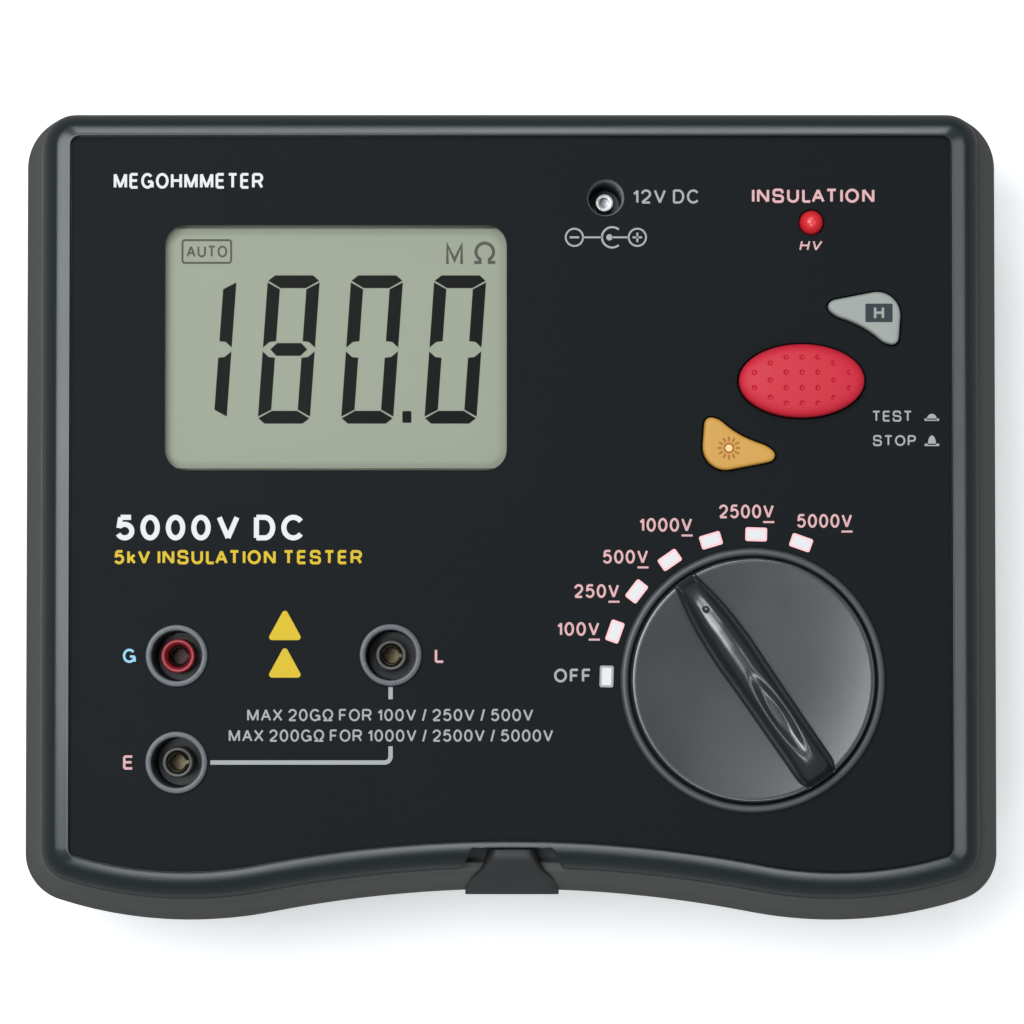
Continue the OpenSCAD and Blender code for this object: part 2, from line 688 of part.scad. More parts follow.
module processor_chip() color([0.12, 0.12, 0.13]) {
  block(18, 18, board_z - 1.9, board_z - 0.3, [-20, 20]);
  for (s = [-1, 1]) {
    for (i = [-6:6]) {
      block(0.4, 2, board_z - 1.1, board_z, [-20 + 1.2 * i, 20 + s * 9.8]);
      block(2, 0.4, board_z - 1.1, board_z, [-20 + s * 9.8, 20 + 1.2 * i]);
    }
  }
}

power_mid = [-37, -51];

module power_board() color([0.1, 0.4, 0.22]) {
  difference() {
    block(122, 64, power_z, power_top, power_mid);
    for (p = power_post_at) post(1.7, power_z - 1, power_top + 1, p);
  }
}

module power_board_screws() color([0.7, 0.7, 0.72]) {
  for (p = power_post_at) difference() {
    union() {
      post(2.9, power_top, power_top + 2, p);
      post(1.2, power_top - 9, power_top + eps, p);
    }
    for (a = [0, 90]) translate([p.x, p.y, power_top + 2]) rotate(a) cube([2.9, 0.7, 2], center = true);
  }
}

transformer_at = [-2, -58];

module hv_transformer() color([0.55, 0.5, 0.3]) {
  block(30, 26, power_top, power_top + 2, transformer_at);
  block(8, 22, power_top + 2, power_top + 18, [transformer_at.x - 11, transformer_at.y]);
  block(8, 22, power_top + 2, power_top + 18, [transformer_at.x + 11, transformer_at.y]);
  translate([transformer_at.x - 7, transformer_at.y, power_top + 12]) rotate([0, 90, 0])
    cylinder(r = 8.4, h = 14);
}

module hv_capacitors() color([0.2, 0.35, 0.55]) {
  for (x = [-66, -52]) pipe(6, 0.4, power_top, power_top + 18, [x, -66]);
  for (i = [0:4]) block(3.2, 9, power_top, power_top + 9, [-70 + 7 * i, -44]);
}

module hv_relays() color([0.85, 0.83, 0.75]) {
  for (x = [-60, -44]) block(12, 8, power_top, power_top + 8, [x, -27]);
}

module socket_leads() color([0.75, 0.15, 0.15]) {
  for (p = [line_at, earth_at, guard_at]) pipe(1.6, 0.6, power_top, socket_base_z - 2.5, p);
}

module board_cable() color([0.6, 0.62, 0.65]) {
  block(16, 1, power_top, board_z, [8, -40]);
}

/* Cells */

holder_z = cover_z + 2.3;
cell_z = holder_z + 0.4 + cell_d / 2;
row_pitch = 15.6;

module battery_holder() color([0.1, 0.1, 0.1]) {
  difference() {
    block(bay_w - 1, bay_d - 1, holder_z, cell_z + cell_d / 2 + 2.2, bay_at);
    for (s = [-1, 1])
      block(51.5, bay_d - 3.4, holder_z - 1, cell_z + cell_d / 2 + 0.4, [bay_at.x + s * 26.55, bay_at.y]);
  }
}

module batteries() color([0.75, 0.6, 0.25]) {
  for (s = [-1, 1], i = [0:3])
    translate([bay_at.x + s * (cell_l / 2 + 1.1), bay_at.y + (i - 1.5) * row_pitch, cell_z])
      rotate([0, 90 * (i % 2 == 0 ? 1 : -1), 0]) {
        translate([0, 0, -cell_l / 2]) cylinder(r = cell_d / 2, h = cell_l - 1);
        translate([0, 0, cell_l / 2 - 1 - eps]) cylinder(r = 2.7, h = 1 + eps);
      }
}

module battery_contacts() color([0.8, 0.8, 0.8]) {
  for (s = [-1, 1], i = [0:3])
    translate([bay_at.x + s * 52.05 - 0.2, bay_at.y + (i - 1.5) * row_pitch - 4.5, cell_z - 4.5])
      cube([0.4, 9, 9]);
}

upper_case();
lower_case();
panel_overlay();
battery_cover();
battery_cover_screws();
case_screws();
rubber_feet();
lcd_window();
lcd_glass();
lcd_holder();
backlight_panel();
zebra_strips();
lcd_holder_screws();
selector_knob();
knob_collar();
knob_shaft();
knob_clip();
switch_rotor();
detent_wheel();
detent_spring();
shaft_bushing();
bushing_nut();
test_button();
test_plunger();
test_spring();
test_switch();
hold_button();
hold_plunger();
light_button();
light_plunger();
tact_switches();
hv_led();
led_holder();
buzzer();
line_socket_body();
line_socket_sleeve();
line_socket_contact();
earth_socket_body();
earth_socket_sleeve();
earth_socket_contact();
guard_socket_body();
guard_socket_sleeve();
guard_socket_contact();
socket_nuts();
dc_jack_body();
dc_jack_pin();
dc_jack_nut();
main_board();
board_screws();
processor_chip();
power_board();
power_board_screws();
hv_transformer();
hv_capacitors();
hv_relays();
socket_leads();
battery_holder();
batteries();
battery_contacts();
board_cable();
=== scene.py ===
import json
import math

import bpy
import bmesh
import numpy as np
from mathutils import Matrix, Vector
from mathutils.geometry import delaunay_2d_cdt


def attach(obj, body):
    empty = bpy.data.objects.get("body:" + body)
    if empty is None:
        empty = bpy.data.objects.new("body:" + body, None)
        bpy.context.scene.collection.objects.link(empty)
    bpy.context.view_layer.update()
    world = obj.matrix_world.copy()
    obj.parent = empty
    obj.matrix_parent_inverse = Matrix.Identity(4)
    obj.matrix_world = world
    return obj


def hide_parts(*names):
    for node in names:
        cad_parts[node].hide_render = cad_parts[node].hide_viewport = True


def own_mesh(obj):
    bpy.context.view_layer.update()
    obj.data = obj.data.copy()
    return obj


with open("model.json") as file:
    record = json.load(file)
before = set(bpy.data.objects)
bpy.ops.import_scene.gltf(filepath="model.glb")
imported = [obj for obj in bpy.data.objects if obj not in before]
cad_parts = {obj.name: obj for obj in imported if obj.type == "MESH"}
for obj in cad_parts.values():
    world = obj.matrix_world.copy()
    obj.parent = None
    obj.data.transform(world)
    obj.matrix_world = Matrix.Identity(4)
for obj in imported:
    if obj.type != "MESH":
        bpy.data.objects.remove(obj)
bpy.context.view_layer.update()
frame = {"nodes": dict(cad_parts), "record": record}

# Every length below is in millimetres, in the CAD's frame. MM turns it into metres.
MM = 0.001

# Case: a straight rear, and a front edge of two lobes with a wave between them
CASE_W = 250.0
CASE_D = 206.3
BEZEL_Z = 77.0
CORNER_R = 12.5
LOBE_R = 110.9
LOBE_X = 82.5
WAVE_R = 324.1
REAR_Y = 103.2
LOBE_Y = LOBE_R - CASE_D / 2
WAVE_Y = LOBE_Y - math.sqrt((WAVE_R + LOBE_R) ** 2 - LOBE_X ** 2)
WAVE_DEG = math.degrees(math.asin(LOBE_X / (WAVE_R + LOBE_R)))
DECK_Z = 75.0
PANEL_Z = 75.4
UNDER_Z = 72.2
BASE_Z = 3.8
FLOOR_Z = 8.0
CORNER_SHARE = 0.77

# Catch notch in the middle of the front edge
NOTCH_X = 0.25
NOTCH_Y = -84.0
NOTCH_HALF = 9.9
NOTCH_FLARE = 0.3
FLANK_RUN = 1.6
FLANK_SLOPE = 0.42

# Places on the panel
KNOB_AT = (61.2, -41.6)
TEST_AT = (73.7, 34.3)
LCD_AT = (-44.5, 42.9)
LED_AT = (76.3, 74.7)
DC_AT = (24.0, 81.1)
LINE_AT = (-30.5, -35.2)
EARTH_AT = (-84.7, -62.4)
GUARD_AT = (-84.7, -35.4)
LCD_SIZE = (86.5, 62.1)
LCD_R = 5.3
LCD_TOP = 71.8

# Screw bosses, board posts, feet and the cell bay
BOSS_AT = [(x, y) for y in (88, 0, -78) for x in (107.5, -107.5)]
POST_AT = [(94, 84), (-94, 84), (0, 84), (94, -76), (-94, -76), (6, -74)]
FOOT_AT = [(x, y) for y in (80, -74) for x in (96, -96)]
BAY_AT = (0.0, 12.0)
BAY_SIZE = (108.0, 66.0)

# Selector
POINTER_DEG = 124.5
KNOB_R = 30.9
KNOB_Z0 = 76.0
KNOB_Z1 = 80.4

# Keys
KEY_GAP = 0.4
TEST_HALF = (15.9, 9.3)
TEST_TOP = 80.0
KEY_POST = (19.2, 16.7)
KEY_CORE = (17.5, 17.3)


# Camera: above the panel, a little towards the front

scene = bpy.context.scene
CAMERA_AT = Vector((0.25, -46.6, 1373.0)) * MM
CAMERA_AIM = Vector((0.25, 1.0, BEZEL_Z)) * MM
camera_data = bpy.data.cameras.new("camera")
camera_data.lens = 180
camera_data.sensor_width = 36
camera_data.dof.use_dof = False
camera_data.clip_start = 0.01
camera_data.clip_end = 20
camera = bpy.data.objects.new("camera", camera_data)
scene.collection.objects.link(camera)
camera.location = CAMERA_AT
camera.rotation_euler = (CAMERA_AIM - CAMERA_AT).to_track_quat("-Z", "Y").to_euler()
scene.camera = camera
scene.view_settings.view_transform = "Standard"


# Materials

FINE_SHARE = 0.45
DRIFT_SCALE = 28
COAT_ROUGH = 0.12
MIRROR_LIMIT = 0.03
ROUGH_SWING = 0.06


def linear(screen):
    """Linear value of an 8-bit screen value."""
    c = screen / 255
    return c / 12.92 if c <= 0.04045 else ((c + 0.055) / 1.055) ** 2.4


def shade(color, k):
    return tuple(min(1.0, c * k) for c in color) + (1.0,)


def material(name, screen, rough, grain=0.35, depth=0.01, mottle=0.06, stretch=(1, 1, 1), metal=0.0,
             specular=0.5, coat=0.0, glow=0.0, alpha=1.0):
    """A screen colour with a fine surface grain, in millimetres, and a slow drift in tone and roughness."""
    color = tuple(linear(c) for c in screen)
    made = bpy.data.materials.new(name)
    made.use_nodes = True
    link = made.node_tree.links.new
    shader = made.node_tree.nodes["Principled BSDF"]

    def node(kind, **values):
        new = made.node_tree.nodes.new("ShaderNode" + kind)
        for socket, value in values.items():
            new.inputs[socket].default_value = value
        return new

    coord = node("TexCoord")
    scaled = node("Mapping", Scale=stretch)
    link(coord.outputs["Object"], scaled.inputs["Vector"])
    fine = node("TexNoise", Scale=1 / (grain * MM), Detail=3, Roughness=0.6)
    link(scaled.outputs["Vector"], fine.inputs["Vector"])
    broad = node("TexNoise", Scale=DRIFT_SCALE, Detail=4)
    link(scaled.outputs["Vector"], broad.inputs["Vector"])
    tone = node("Math")
    tone.operation = "MULTIPLY_ADD"
    tone.inputs[1].default_value = FINE_SHARE
    link(fine.outputs["Fac"], tone.inputs[0])
    link(broad.outputs["Fac"], tone.inputs[2])
    tint = node("Mix")
    tint.data_type = "RGBA"
    tint.clamp_factor = False
    tint.inputs["A"].default_value = shade(color, 1 - mottle)
    tint.inputs["B"].default_value = shade(color, 1 + mottle * 0.6)
    link(tone.outputs["Value"], tint.inputs["Factor"])
    link(tint.outputs["Result"], shader.inputs["Base Color"])
    spread = node("MapRange")
    spread.inputs["To Min"].default_value = max(MIRROR_LIMIT, rough - ROUGH_SWING)
    spread.inputs["To Max"].default_value = min(1.0, rough + ROUGH_SWING)
    link(broad.outputs["Fac"], spread.inputs["Value"])
    link(spread.outputs["Result"], shader.inputs["Roughness"])
    bump = node("Bump", Strength=1.0, Distance=depth * MM)
    link(fine.outputs["Fac"], bump.inputs["Height"])
    link(bump.outputs["Normal"], shader.inputs["Normal"])
    even = {"Metallic": metal, "Specular IOR Level": specular, "Coat Weight": coat,
            "Coat Roughness": COAT_ROUGH, "Alpha": alpha}
    if glow:
        even["Emission Color"] = (*color, 1.0)
        even["Emission Strength"] = glow
    for socket, value in even.items():
        shader.inputs[socket].default_value = value
    return made


FINISHES = {
    "bezel_plastic": dict(screen=(29, 37, 40), rough=0.22, depth=0.003, specular=0.42),
    "case_plastic": dict(screen=(73, 74, 74), rough=0.55, grain=0.5, depth=0.02, specular=0.3),
    "panel_film": dict(screen=(17, 21, 24), rough=0.5, grain=0.18, depth=0.004, specular=0.06),
    "knob_plastic": dict(screen=(28, 33, 37), rough=0.27, grain=0.25, depth=0.003, mottle=0.05, specular=1.0),
    "collar_plastic": dict(screen=(56, 61, 65), rough=0.4, grain=0.3, depth=0.006),
    "red_rubber": dict(screen=(186, 34, 53), rough=0.5, grain=0.3, depth=0.008, specular=0.25),
    "grey_rubber": dict(screen=(141, 147, 143), rough=0.5, grain=0.3, depth=0.008, specular=0.35),
    "amber_rubber": dict(screen=(187, 141, 62), rough=0.5, grain=0.3, depth=0.008, specular=0.35),
    "black_rubber": dict(screen=(30, 30, 31), rough=0.75, grain=0.6, depth=0.04, specular=0.25),
    "black_plastic": dict(screen=(28, 28, 30), rough=0.5, depth=0.012),
    "white_plastic": dict(screen=(222, 220, 212), rough=0.5, depth=0.01),
    "socket_plastic": dict(screen=(67, 72, 78), rough=0.35, grain=0.3, depth=0.006),
    "sleeve_plastic": dict(screen=(66, 67, 65), rough=0.35, grain=0.3, depth=0.006),
    "red_plastic": dict(screen=(150, 40, 50), rough=0.35, grain=0.3, depth=0.006),
    "red_lens": dict(screen=(196, 34, 42), rough=0.3, grain=1.5, depth=0.002, coat=0.15, glow=0.1),
    "window_plastic": dict(screen=(70, 78, 72), rough=0.12, grain=2.0, depth=0.001, specular=0.15,
                           alpha=0.02),
    "lcd_cell": dict(screen=(144, 150, 133), rough=0.55, grain=0.12, depth=0.002, mottle=0.02, specular=0.2),
    "contact_metal": dict(screen=(90, 84, 68), rough=0.34, grain=0.15, depth=0.004, stretch=(1, 1, 6),
                          metal=1.0),
    "steel": dict(screen=(180, 182, 186), rough=0.34, grain=0.2, depth=0.006, metal=1.0),
    "spring_steel": dict(screen=(165, 166, 170), rough=0.28, grain=0.15, depth=0.004, stretch=(1, 5, 5),
                         metal=1.0),
    "board_green": dict(screen=(24, 96, 56), rough=0.35, grain=2.2, depth=0.03, mottle=0.3, coat=0.3),
    "core_iron": dict(screen=(96, 88, 78), rough=0.6, grain=0.4, depth=0.05, stretch=(1, 1, 8), mottle=0.2),
    "component_blue": dict(screen=(48, 84, 136), rough=0.3, grain=0.8, depth=0.01, coat=0.4),
    "cell_jacket": dict(screen=(182, 140, 62), rough=0.25, grain=1.0, depth=0.004, metal=0.3, coat=0.4),
    "wire_red": dict(screen=(176, 30, 30), rough=0.5, depth=0.01),
    "cable_grey": dict(screen=(150, 152, 156), rough=0.5, grain=0.6, depth=0.05, stretch=(4, 1, 0.1)),
}
SLOTS = {name: material(name, **finish) for name, finish in FINISHES.items()}

INK_SCREEN = {
    "white": (204, 207, 209),
    "grey": (150, 154, 157),
    "pink": (202, 158, 160),
    "rose": (246, 186, 190),
    "blue": (134, 190, 212),
    "yellow": (196, 168, 38),
    "dark": (44, 52, 58),
    "brown": (158, 100, 44),
    "peach": (240, 196, 140),
}
INK = {name: material("ink_" + name, screen, 0.6, grain=0.12, depth=0.003, specular=0.2)
       for name, screen in INK_SCREEN.items()}
INK["segment_ink"] = material("segment_ink", (9, 9, 9), 0.55, grain=0.12, depth=0.002, specular=0.08)
INK["sign_ink"] = material("sign_ink", (74, 77, 68), 0.55, grain=0.12, depth=0.002, specular=0.2)


# Mesh building

MERGE_M = 1e-7
CUT_NEAR = 0.25
CUT_FAR = 0.75


class Shape:
    """Vertices in millimetres and faces, gathered part by part into one mesh."""

    def __init__(self):
        self.verts = []
        self.faces = []

    def add(self, verts, faces):
        base = len(self.verts)
        self.verts.extend(tuple(float(c) for c in v) for v in verts)
        self.faces.extend(tuple(base + int(i) for i in f) for f in faces)

    def piece(self, name, body, slot, skin=None, replaces=(), crease=38, weighted=True):
        """Makes the mesh an object that rides on a body and stands for CAD nodes."""
        mesh = bpy.data.meshes.new(name)
        mesh.from_pydata([tuple(c * MM for c in v) for v in self.verts], [], self.faces)
        work = bmesh.new()
        work.from_mesh(mesh)
        bmesh.ops.remove_doubles(work, verts=work.verts, dist=MERGE_M)
        bmesh.ops.recalc_face_normals(work, faces=work.faces)
        work.to_mesh(mesh)
        work.free()
        mesh.shade_smooth()
        mesh.set_sharp_from_angle(angle=math.radians(crease))
        mesh.materials.append(skin or SLOTS[slot])
        made = bpy.data.objects.new(name, mesh)
        scene.collection.objects.link(made)
        if weighted:
            made.modifiers.new("weighted_normal", "WEIGHTED_NORMAL").keep_sharp = True
        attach(made, body)
        if replaces:
            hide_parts(*replaces)
        return made


def ring_faces(rows, n, closed=False):
    """Quads between consecutive rings of n points; closed also joins the last ring to the first."""
    faces = []
    for j in range(rows if closed else rows - 1):
        k = (j + 1) % rows
        for i in range(n):
            m = (i + 1) % n
            faces.append((j * n + i, j * n + m, k * n + m, k * n + i))
    return faces


def loft(shape, rings):
    """A closed solid through rings of the same number of points, each end fanned round its middle."""
    n = len(rings[0])
    verts = [p for ring in rings for p in ring]
    faces = ring_faces(len(rings), n)
    for ring, first in ((rings[0], 0), (rings[-1], (len(rings) - 1) * n)):
        verts.append(tuple(np.mean(np.array(ring), axis=0)))
        middle = len(verts) - 1
        faces.extend((first + i, first + (i + 1) % n, middle) for i in range(n))
    shape.add(verts, faces)


def revolve(shape, profile, at, count=96):
    """A closed profile of (radius, height) turned about a vertical axis. Points on the axis close it."""
    turns = [2 * math.pi * i / count for i in range(count)]
    rings = [[(at[0] + r * math.cos(a), at[1] + r * math.sin(a), z) for a in turns] for r, z in profile]
    closed = profile[0][0] > 0
    verts = [p for ring in rings for p in ring]
    shape.add(verts, ring_faces(len(rings), count, closed))


def bow(cx, cy, rx, ry, a0, a1, n=18):
    """n + 1 points of an elliptical arc, angles in degrees."""
    angles = np.radians(np.linspace(a0, a1, n + 1))
    return [(cx + rx * math.cos(a), cy + ry * math.sin(a)) for a in angles]


def arc_points(cx, cy, r, a0, a1, n):
    return bow(cx, cy, r, r, a0, a1, n)


def rounded_rect(w, d, r, at=(0, 0), n=10):
    """A rectangle with corners of radius r, n steps to a corner."""
    points = []
    for k, (sx, sy) in enumerate(((1, 1), (-1, 1), (-1, -1), (1, -1))):
        cx = at[0] + sx * (w / 2 - r)
        cy = at[1] + sy * (d / 2 - r)
        points.extend(arc_points(cx, cy, r, 90 * k, 90 * k + 90, n))
    return points


def circle(at, r, n=64):
    return arc_points(at[0], at[1], r, 0, 360 - 360 / n, n - 1)


def ellipse(a, b, n, at=(0, 0)):
    turns = [2 * math.pi * i / n for i in range(n)]
    return [(at[0] + a * math.cos(t), at[1] + b * math.sin(t)) for t in turns]


def inset(loop, distance):
    """The loop moved inwards by a distance; outwards for a negative one."""
    p = np.array(loop)
    before = p - np.roll(p, 1, axis=0)
    after = np.roll(p, -1, axis=0) - p
    before /= np.linalg.norm(before, axis=1)[:, None]
    after /= np.linalg.norm(after, axis=1)[:, None]
    along = before + after
    along /= np.linalg.norm(along, axis=1)[:, None]
    area = np.sum(p[:, 0] * np.roll(p[:, 1], -1) - np.roll(p[:, 0], -1) * p[:, 1])
    inward = np.stack([-along[:, 1], along[:, 0]], axis=1) * np.sign(area)
    spread = np.clip(np.sum(before * along, axis=1), 0.5, 1)
    return [tuple(q) for q in p + inward * (distance / spread)[:, None]]


def inside(loops, x, y):
    """Whether points lie inside the loops by the even-odd rule."""
    odd = np.zeros(len(x), bool)
    for loop in loops:
        p = np.array(loop)
        q = np.roll(p, -1, axis=0)
        for (x0, y0), (x1, y1) in zip(p, q):
            if y0 == y1:
                continue
            crosses = (y0 > y) != (y1 > y)
            odd ^= crosses & (x < (x1 - x0) * (y - y0) / (y1 - y0) + x0)
    return odd


def plate(shape, loops, z0, z1, bevel=0.0, steps=3):
    """A flat plate with holes and rounded upper edges: the first loop is its outline."""
    levels = [(0.0, z0)]
    for k in range(steps + 1 if bevel else 1):
        turn = math.radians(90 * k / max(1, steps)) if bevel else 0
        levels.append((bevel * (1 - math.cos(turn)), z1 - bevel * (1 - math.sin(turn))))
    for index, loop in enumerate(loops):
        sign = 1 if index == 0 else -1
        rings = [[(x, y, z) for x, y in (inset(loop, sign * d) if d else loop)] for d, z in levels]
        shape.add([p for ring in rings for p in ring], ring_faces(len(rings), len(loop)))
    for d, z in (levels[0], levels[-1]):
        flat = [inset(loop, d if k == 0 else -d) if d else loop for k, loop in enumerate(loops)]
        points = [p for loop in flat for p in loop]
        edges = []
        start = 0
        for loop in flat:
            n = len(loop)
            edges.extend((start + i, start + (i + 1) % n) for i in range(n))
            start += n
        verts, _, faces, _, _, _ = delaunay_2d_cdt([Vector(p) for p in points], edges, [], 0, 1e-6)
        middles = np.array([np.mean([verts[i] for i in f], axis=0) for f in faces])
        keep = inside(flat, middles[:, 0], middles[:, 1])
        shape.add([(v[0], v[1], z) for v in verts], [f for f, k in zip(faces, keep) if k])


def tube(shape, r_out, r_in, z0, z1, at, n=40):
    revolve(shape, [(r_in, z0), (r_out, z0), (r_out, z1), (r_in, z1)], at, n)


def slab(shape, polygon, z0, z1):
    """A thin solid with a convex outline."""
    n = len(polygon)
    verts = [(x, y, z) for z in (z0, z1) for x, y in polygon]
    faces = [tuple(range(n)), tuple(range(n, 2 * n))]
    faces.extend((i, (i + 1) % n, n + (i + 1) % n, n + i) for i in range(n))
    shape.add(verts, faces)


def ribbon(shape, points, width, z0, z1, closed=False):
    """A flat line of constant width along points."""
    p = np.array(points, float)
    if closed:
        ahead = np.roll(p, -1, axis=0) - p
        back = p - np.roll(p, 1, axis=0)
    else:
        ahead = np.diff(p, axis=0, append=p[-1:] * 2 - p[-2:-1])
        back = np.diff(p, axis=0, prepend=p[:1] * 2 - p[1:2])
    ahead /= np.linalg.norm(ahead, axis=1)[:, None]
    back /= np.linalg.norm(back, axis=1)[:, None]
    along = ahead + back
    along /= np.linalg.norm(along, axis=1)[:, None]
    reach = width / 2 / np.clip(np.sum(along * ahead, axis=1), 0.4, 1)
    side = np.stack([-along[:, 1], along[:, 0]], axis=1) * reach[:, None]
    rings = [[(*(a + s), z0), (*(a + s), z1), (*(a - s), z1), (*(a - s), z0)] for a, s in zip(p, side)]
    n = len(rings)
    faces = []
    for j in range(n if closed else n - 1):
        k = (j + 1) % n
        faces.extend((4 * j + i, 4 * j + (i + 1) % 4, 4 * k + (i + 1) % 4, 4 * k + i) for i in range(4))
    if not closed:
        faces.extend([(0, 1, 2, 3), (4 * n - 1, 4 * n - 2, 4 * n - 3, 4 * n - 4)])
    shape.add([v for ring in rings for v in ring], faces)


def bent(points, rounds=3):
    """An open line with its corners cut until it curves."""
    line = [np.array(p, float) for p in points]
    for _ in range(rounds):
        cut = [line[0]]
        for a, b in zip(line, line[1:]):
            cut += [CUT_FAR * a + CUT_NEAR * b, CUT_NEAR * a + CUT_FAR * b]
        line = cut + [line[-1]]
    return [tuple(p) for p in line]


# Lettering: each glyph is its width in cap heights and its strokes in a unit box. A stroke that ends where it
# starts is a ring. GLYPH_GAP is the space after a glyph, and CLOSE_PAIRS take some of it back.
ROUND = bow(0.5, 0.5, 0.5, 0.5, 0, 360, 40)
BOWL = [(0.6, 1.0)] + bow(0.62, 0.73, 0.38, 0.27, 90, -90, 14) + [(0.6, 0.46)]
GLYPHS = {
    " ": (0.12, []),
    "0": (0.64, [ROUND]),
    "1": (0.36, [[(1, 0), (1, 1)], [(0, 0.74), (0.55, 0.8), (0.96, 0.98)]]),
    "2": (0.62, [bow(0.5, 0.71, 0.5, 0.29, 175, -25) + [(0.72, 0.4), (0.2, 0.14), (0.0, 0.0)],
                 [(0, 0), (1, 0)]]),
    "5": (0.62, [[(0.94, 1), (0.18, 1)], [(0.18, 1), (0.06, 0.48)],
                 bow(0.48, 0.33, 0.52, 0.33, 140, -155, 24)]),
    "A": (0.76, [[(0, 0), (0.5, 1)], [(0.5, 1), (1, 0)], [(0.2, 0.34), (0.8, 0.34)]]),
    "C": (0.76, [bow(0.52, 0.5, 0.52, 0.5, 38, 322, 34)]),
    "D": (0.7, [[(0, 0), (0, 1)], [(0, 1)] + bow(0.5, 0.5, 0.5, 0.5, 90, -90, 24) + [(0, 0)]]),
    "E": (0.6, [[(0, 0), (0, 1)], [(0, 1), (1, 1)], [(0, 0.52), (0.92, 0.52)], [(0, 0), (1, 0)]]),
    "F": (0.58, [[(0, 0), (0, 1)], [(0, 1), (1, 1)], [(0, 0.5), (0.88, 0.5)]]),
    "G": (0.78, [bow(0.5, 0.5, 0.5, 0.5, 40, 338, 36), [(1, 0.0), (1, 0.44)], [(1, 0.44), (0.56, 0.44)]]),
    "H": (0.7, [[(0, 0), (0, 1)], [(1, 0), (1, 1)], [(0, 0.52), (1, 0.52)]]),
    "I": (0.14, [[(0, 0), (0, 1)]]),
    "L": (0.56, [[(0, 1), (0, 0)], [(0, 0), (1, 0)]]),
    "M": (0.84, [[(0, 0), (0, 1)], [(0.02, 1), (0.5, 0.02)], [(0.5, 0.02), (0.98, 1)], [(1, 0), (1, 1)]]),
    "N": (0.72, [[(0, 0), (0, 1)], [(0.03, 1), (0.97, 0)], [(1, 0), (1, 1)]]),
    "O": (0.8, [ROUND]),
    "P": (0.64, [[(0, 0), (0, 1)], [(0, 1)] + BOWL + [(0, 0.46)]]),
    "R": (0.7, [[(0, 0), (0, 1)], [(0, 1)] + BOWL + [(0, 0.46)], [(0.62, 0.46), (1, 0)]]),
    "S": (0.68, [bent([(0.97, 0.72), (0.92, 1.0), (0.5, 1.02), (0.03, 1.0), (0.0, 0.55), (0.5, 0.52),
                       (1.02, 0.46), (1.0, 0.0), (0.5, -0.02), (0.02, 0.0), (0.0, 0.3)])]),
    "T": (0.66, [[(0, 1), (1, 1)], [(0.5, 1), (0.5, 0)]]),
    "U": (0.7, [[(0, 1)] + bow(0.5, 0.36, 0.5, 0.36, 180, 360, 20) + [(1, 1)]]),
    "V": (0.74, [[(0, 1), (0.5, 0)], [(0.5, 0), (1, 1)]]),
    "X": (0.72, [[(0, 0), (1, 1)], [(0, 1), (1, 0)]]),
    "/": (0.36, [[(0, -0.05), (1, 1.05)]]),
    "k": (0.54, [[(0, 0), (0, 1)], [(0.95, 0.7), (0.05, 0.26)], [(0.38, 0.42), (1, 0)]]),
    "\u03a9": (0.78, [[(0.0, 0), (0.36, 0)] + bow(0.5, 0.57, 0.5, 0.43, 243, -63, 28) + [(0.64, 0), (1, 0)]]),
}
GLYPH_GAP = 0.14
CLOSE_PAIRS = {"LA": 0.17, "AT": 0.1, "AX": 0.04, "kV": 0.06}
STROKE_STEP = 0.006


def letters(shape, text, at, cap, z0, z1, width, weight=0.15, slant=0.0):
    """Adds a line of lettering centred on a point: cap is its height and width its whole length.

    The strokes of a glyph lie a little over each other, so that no two tops share a plane.
    """
    thick = cap * weight
    runs = []
    x = 0.0
    for char, after in zip(text, text[1:] + " "):
        share, strokes = GLYPHS[char]
        wide = cap * share - thick
        for k, run in enumerate(strokes):
            line = [(x + thick / 2 + u * wide, thick / 2 + v * (cap - thick)) for u, v in run]
            runs.append((line, z1 + k * STROKE_STEP))
        x += cap * (share + GLYPH_GAP - CLOSE_PAIRS.get(char + after, 0.0))
    total = x - cap * GLYPH_GAP
    for run, top in runs:
        line = [(at[0] + (u / total - 0.5) * width + slant * (v - cap / 2), at[1] + v - cap / 2)
                for u, v in run]
        ring = math.dist(run[0], run[-1]) < 1e-6
        ribbon(shape, line[:-1] if ring else line, thick, z0, top, ring)


# Outlines of the two shells, seen from above

# Steps from the middle of the front outwards, close together where the notch's flanks fall
MIDDLE_X = np.concatenate([np.linspace(0, 6.8, 6), np.linspace(7.1, 14.5, 46), np.linspace(15.5, 24, 8)])


def smooth(t):
    """An even step from 0 to 1."""
    t = np.clip(t, 0, 1)
    return t * t * t * (t * (6 * t - 15) + 10)


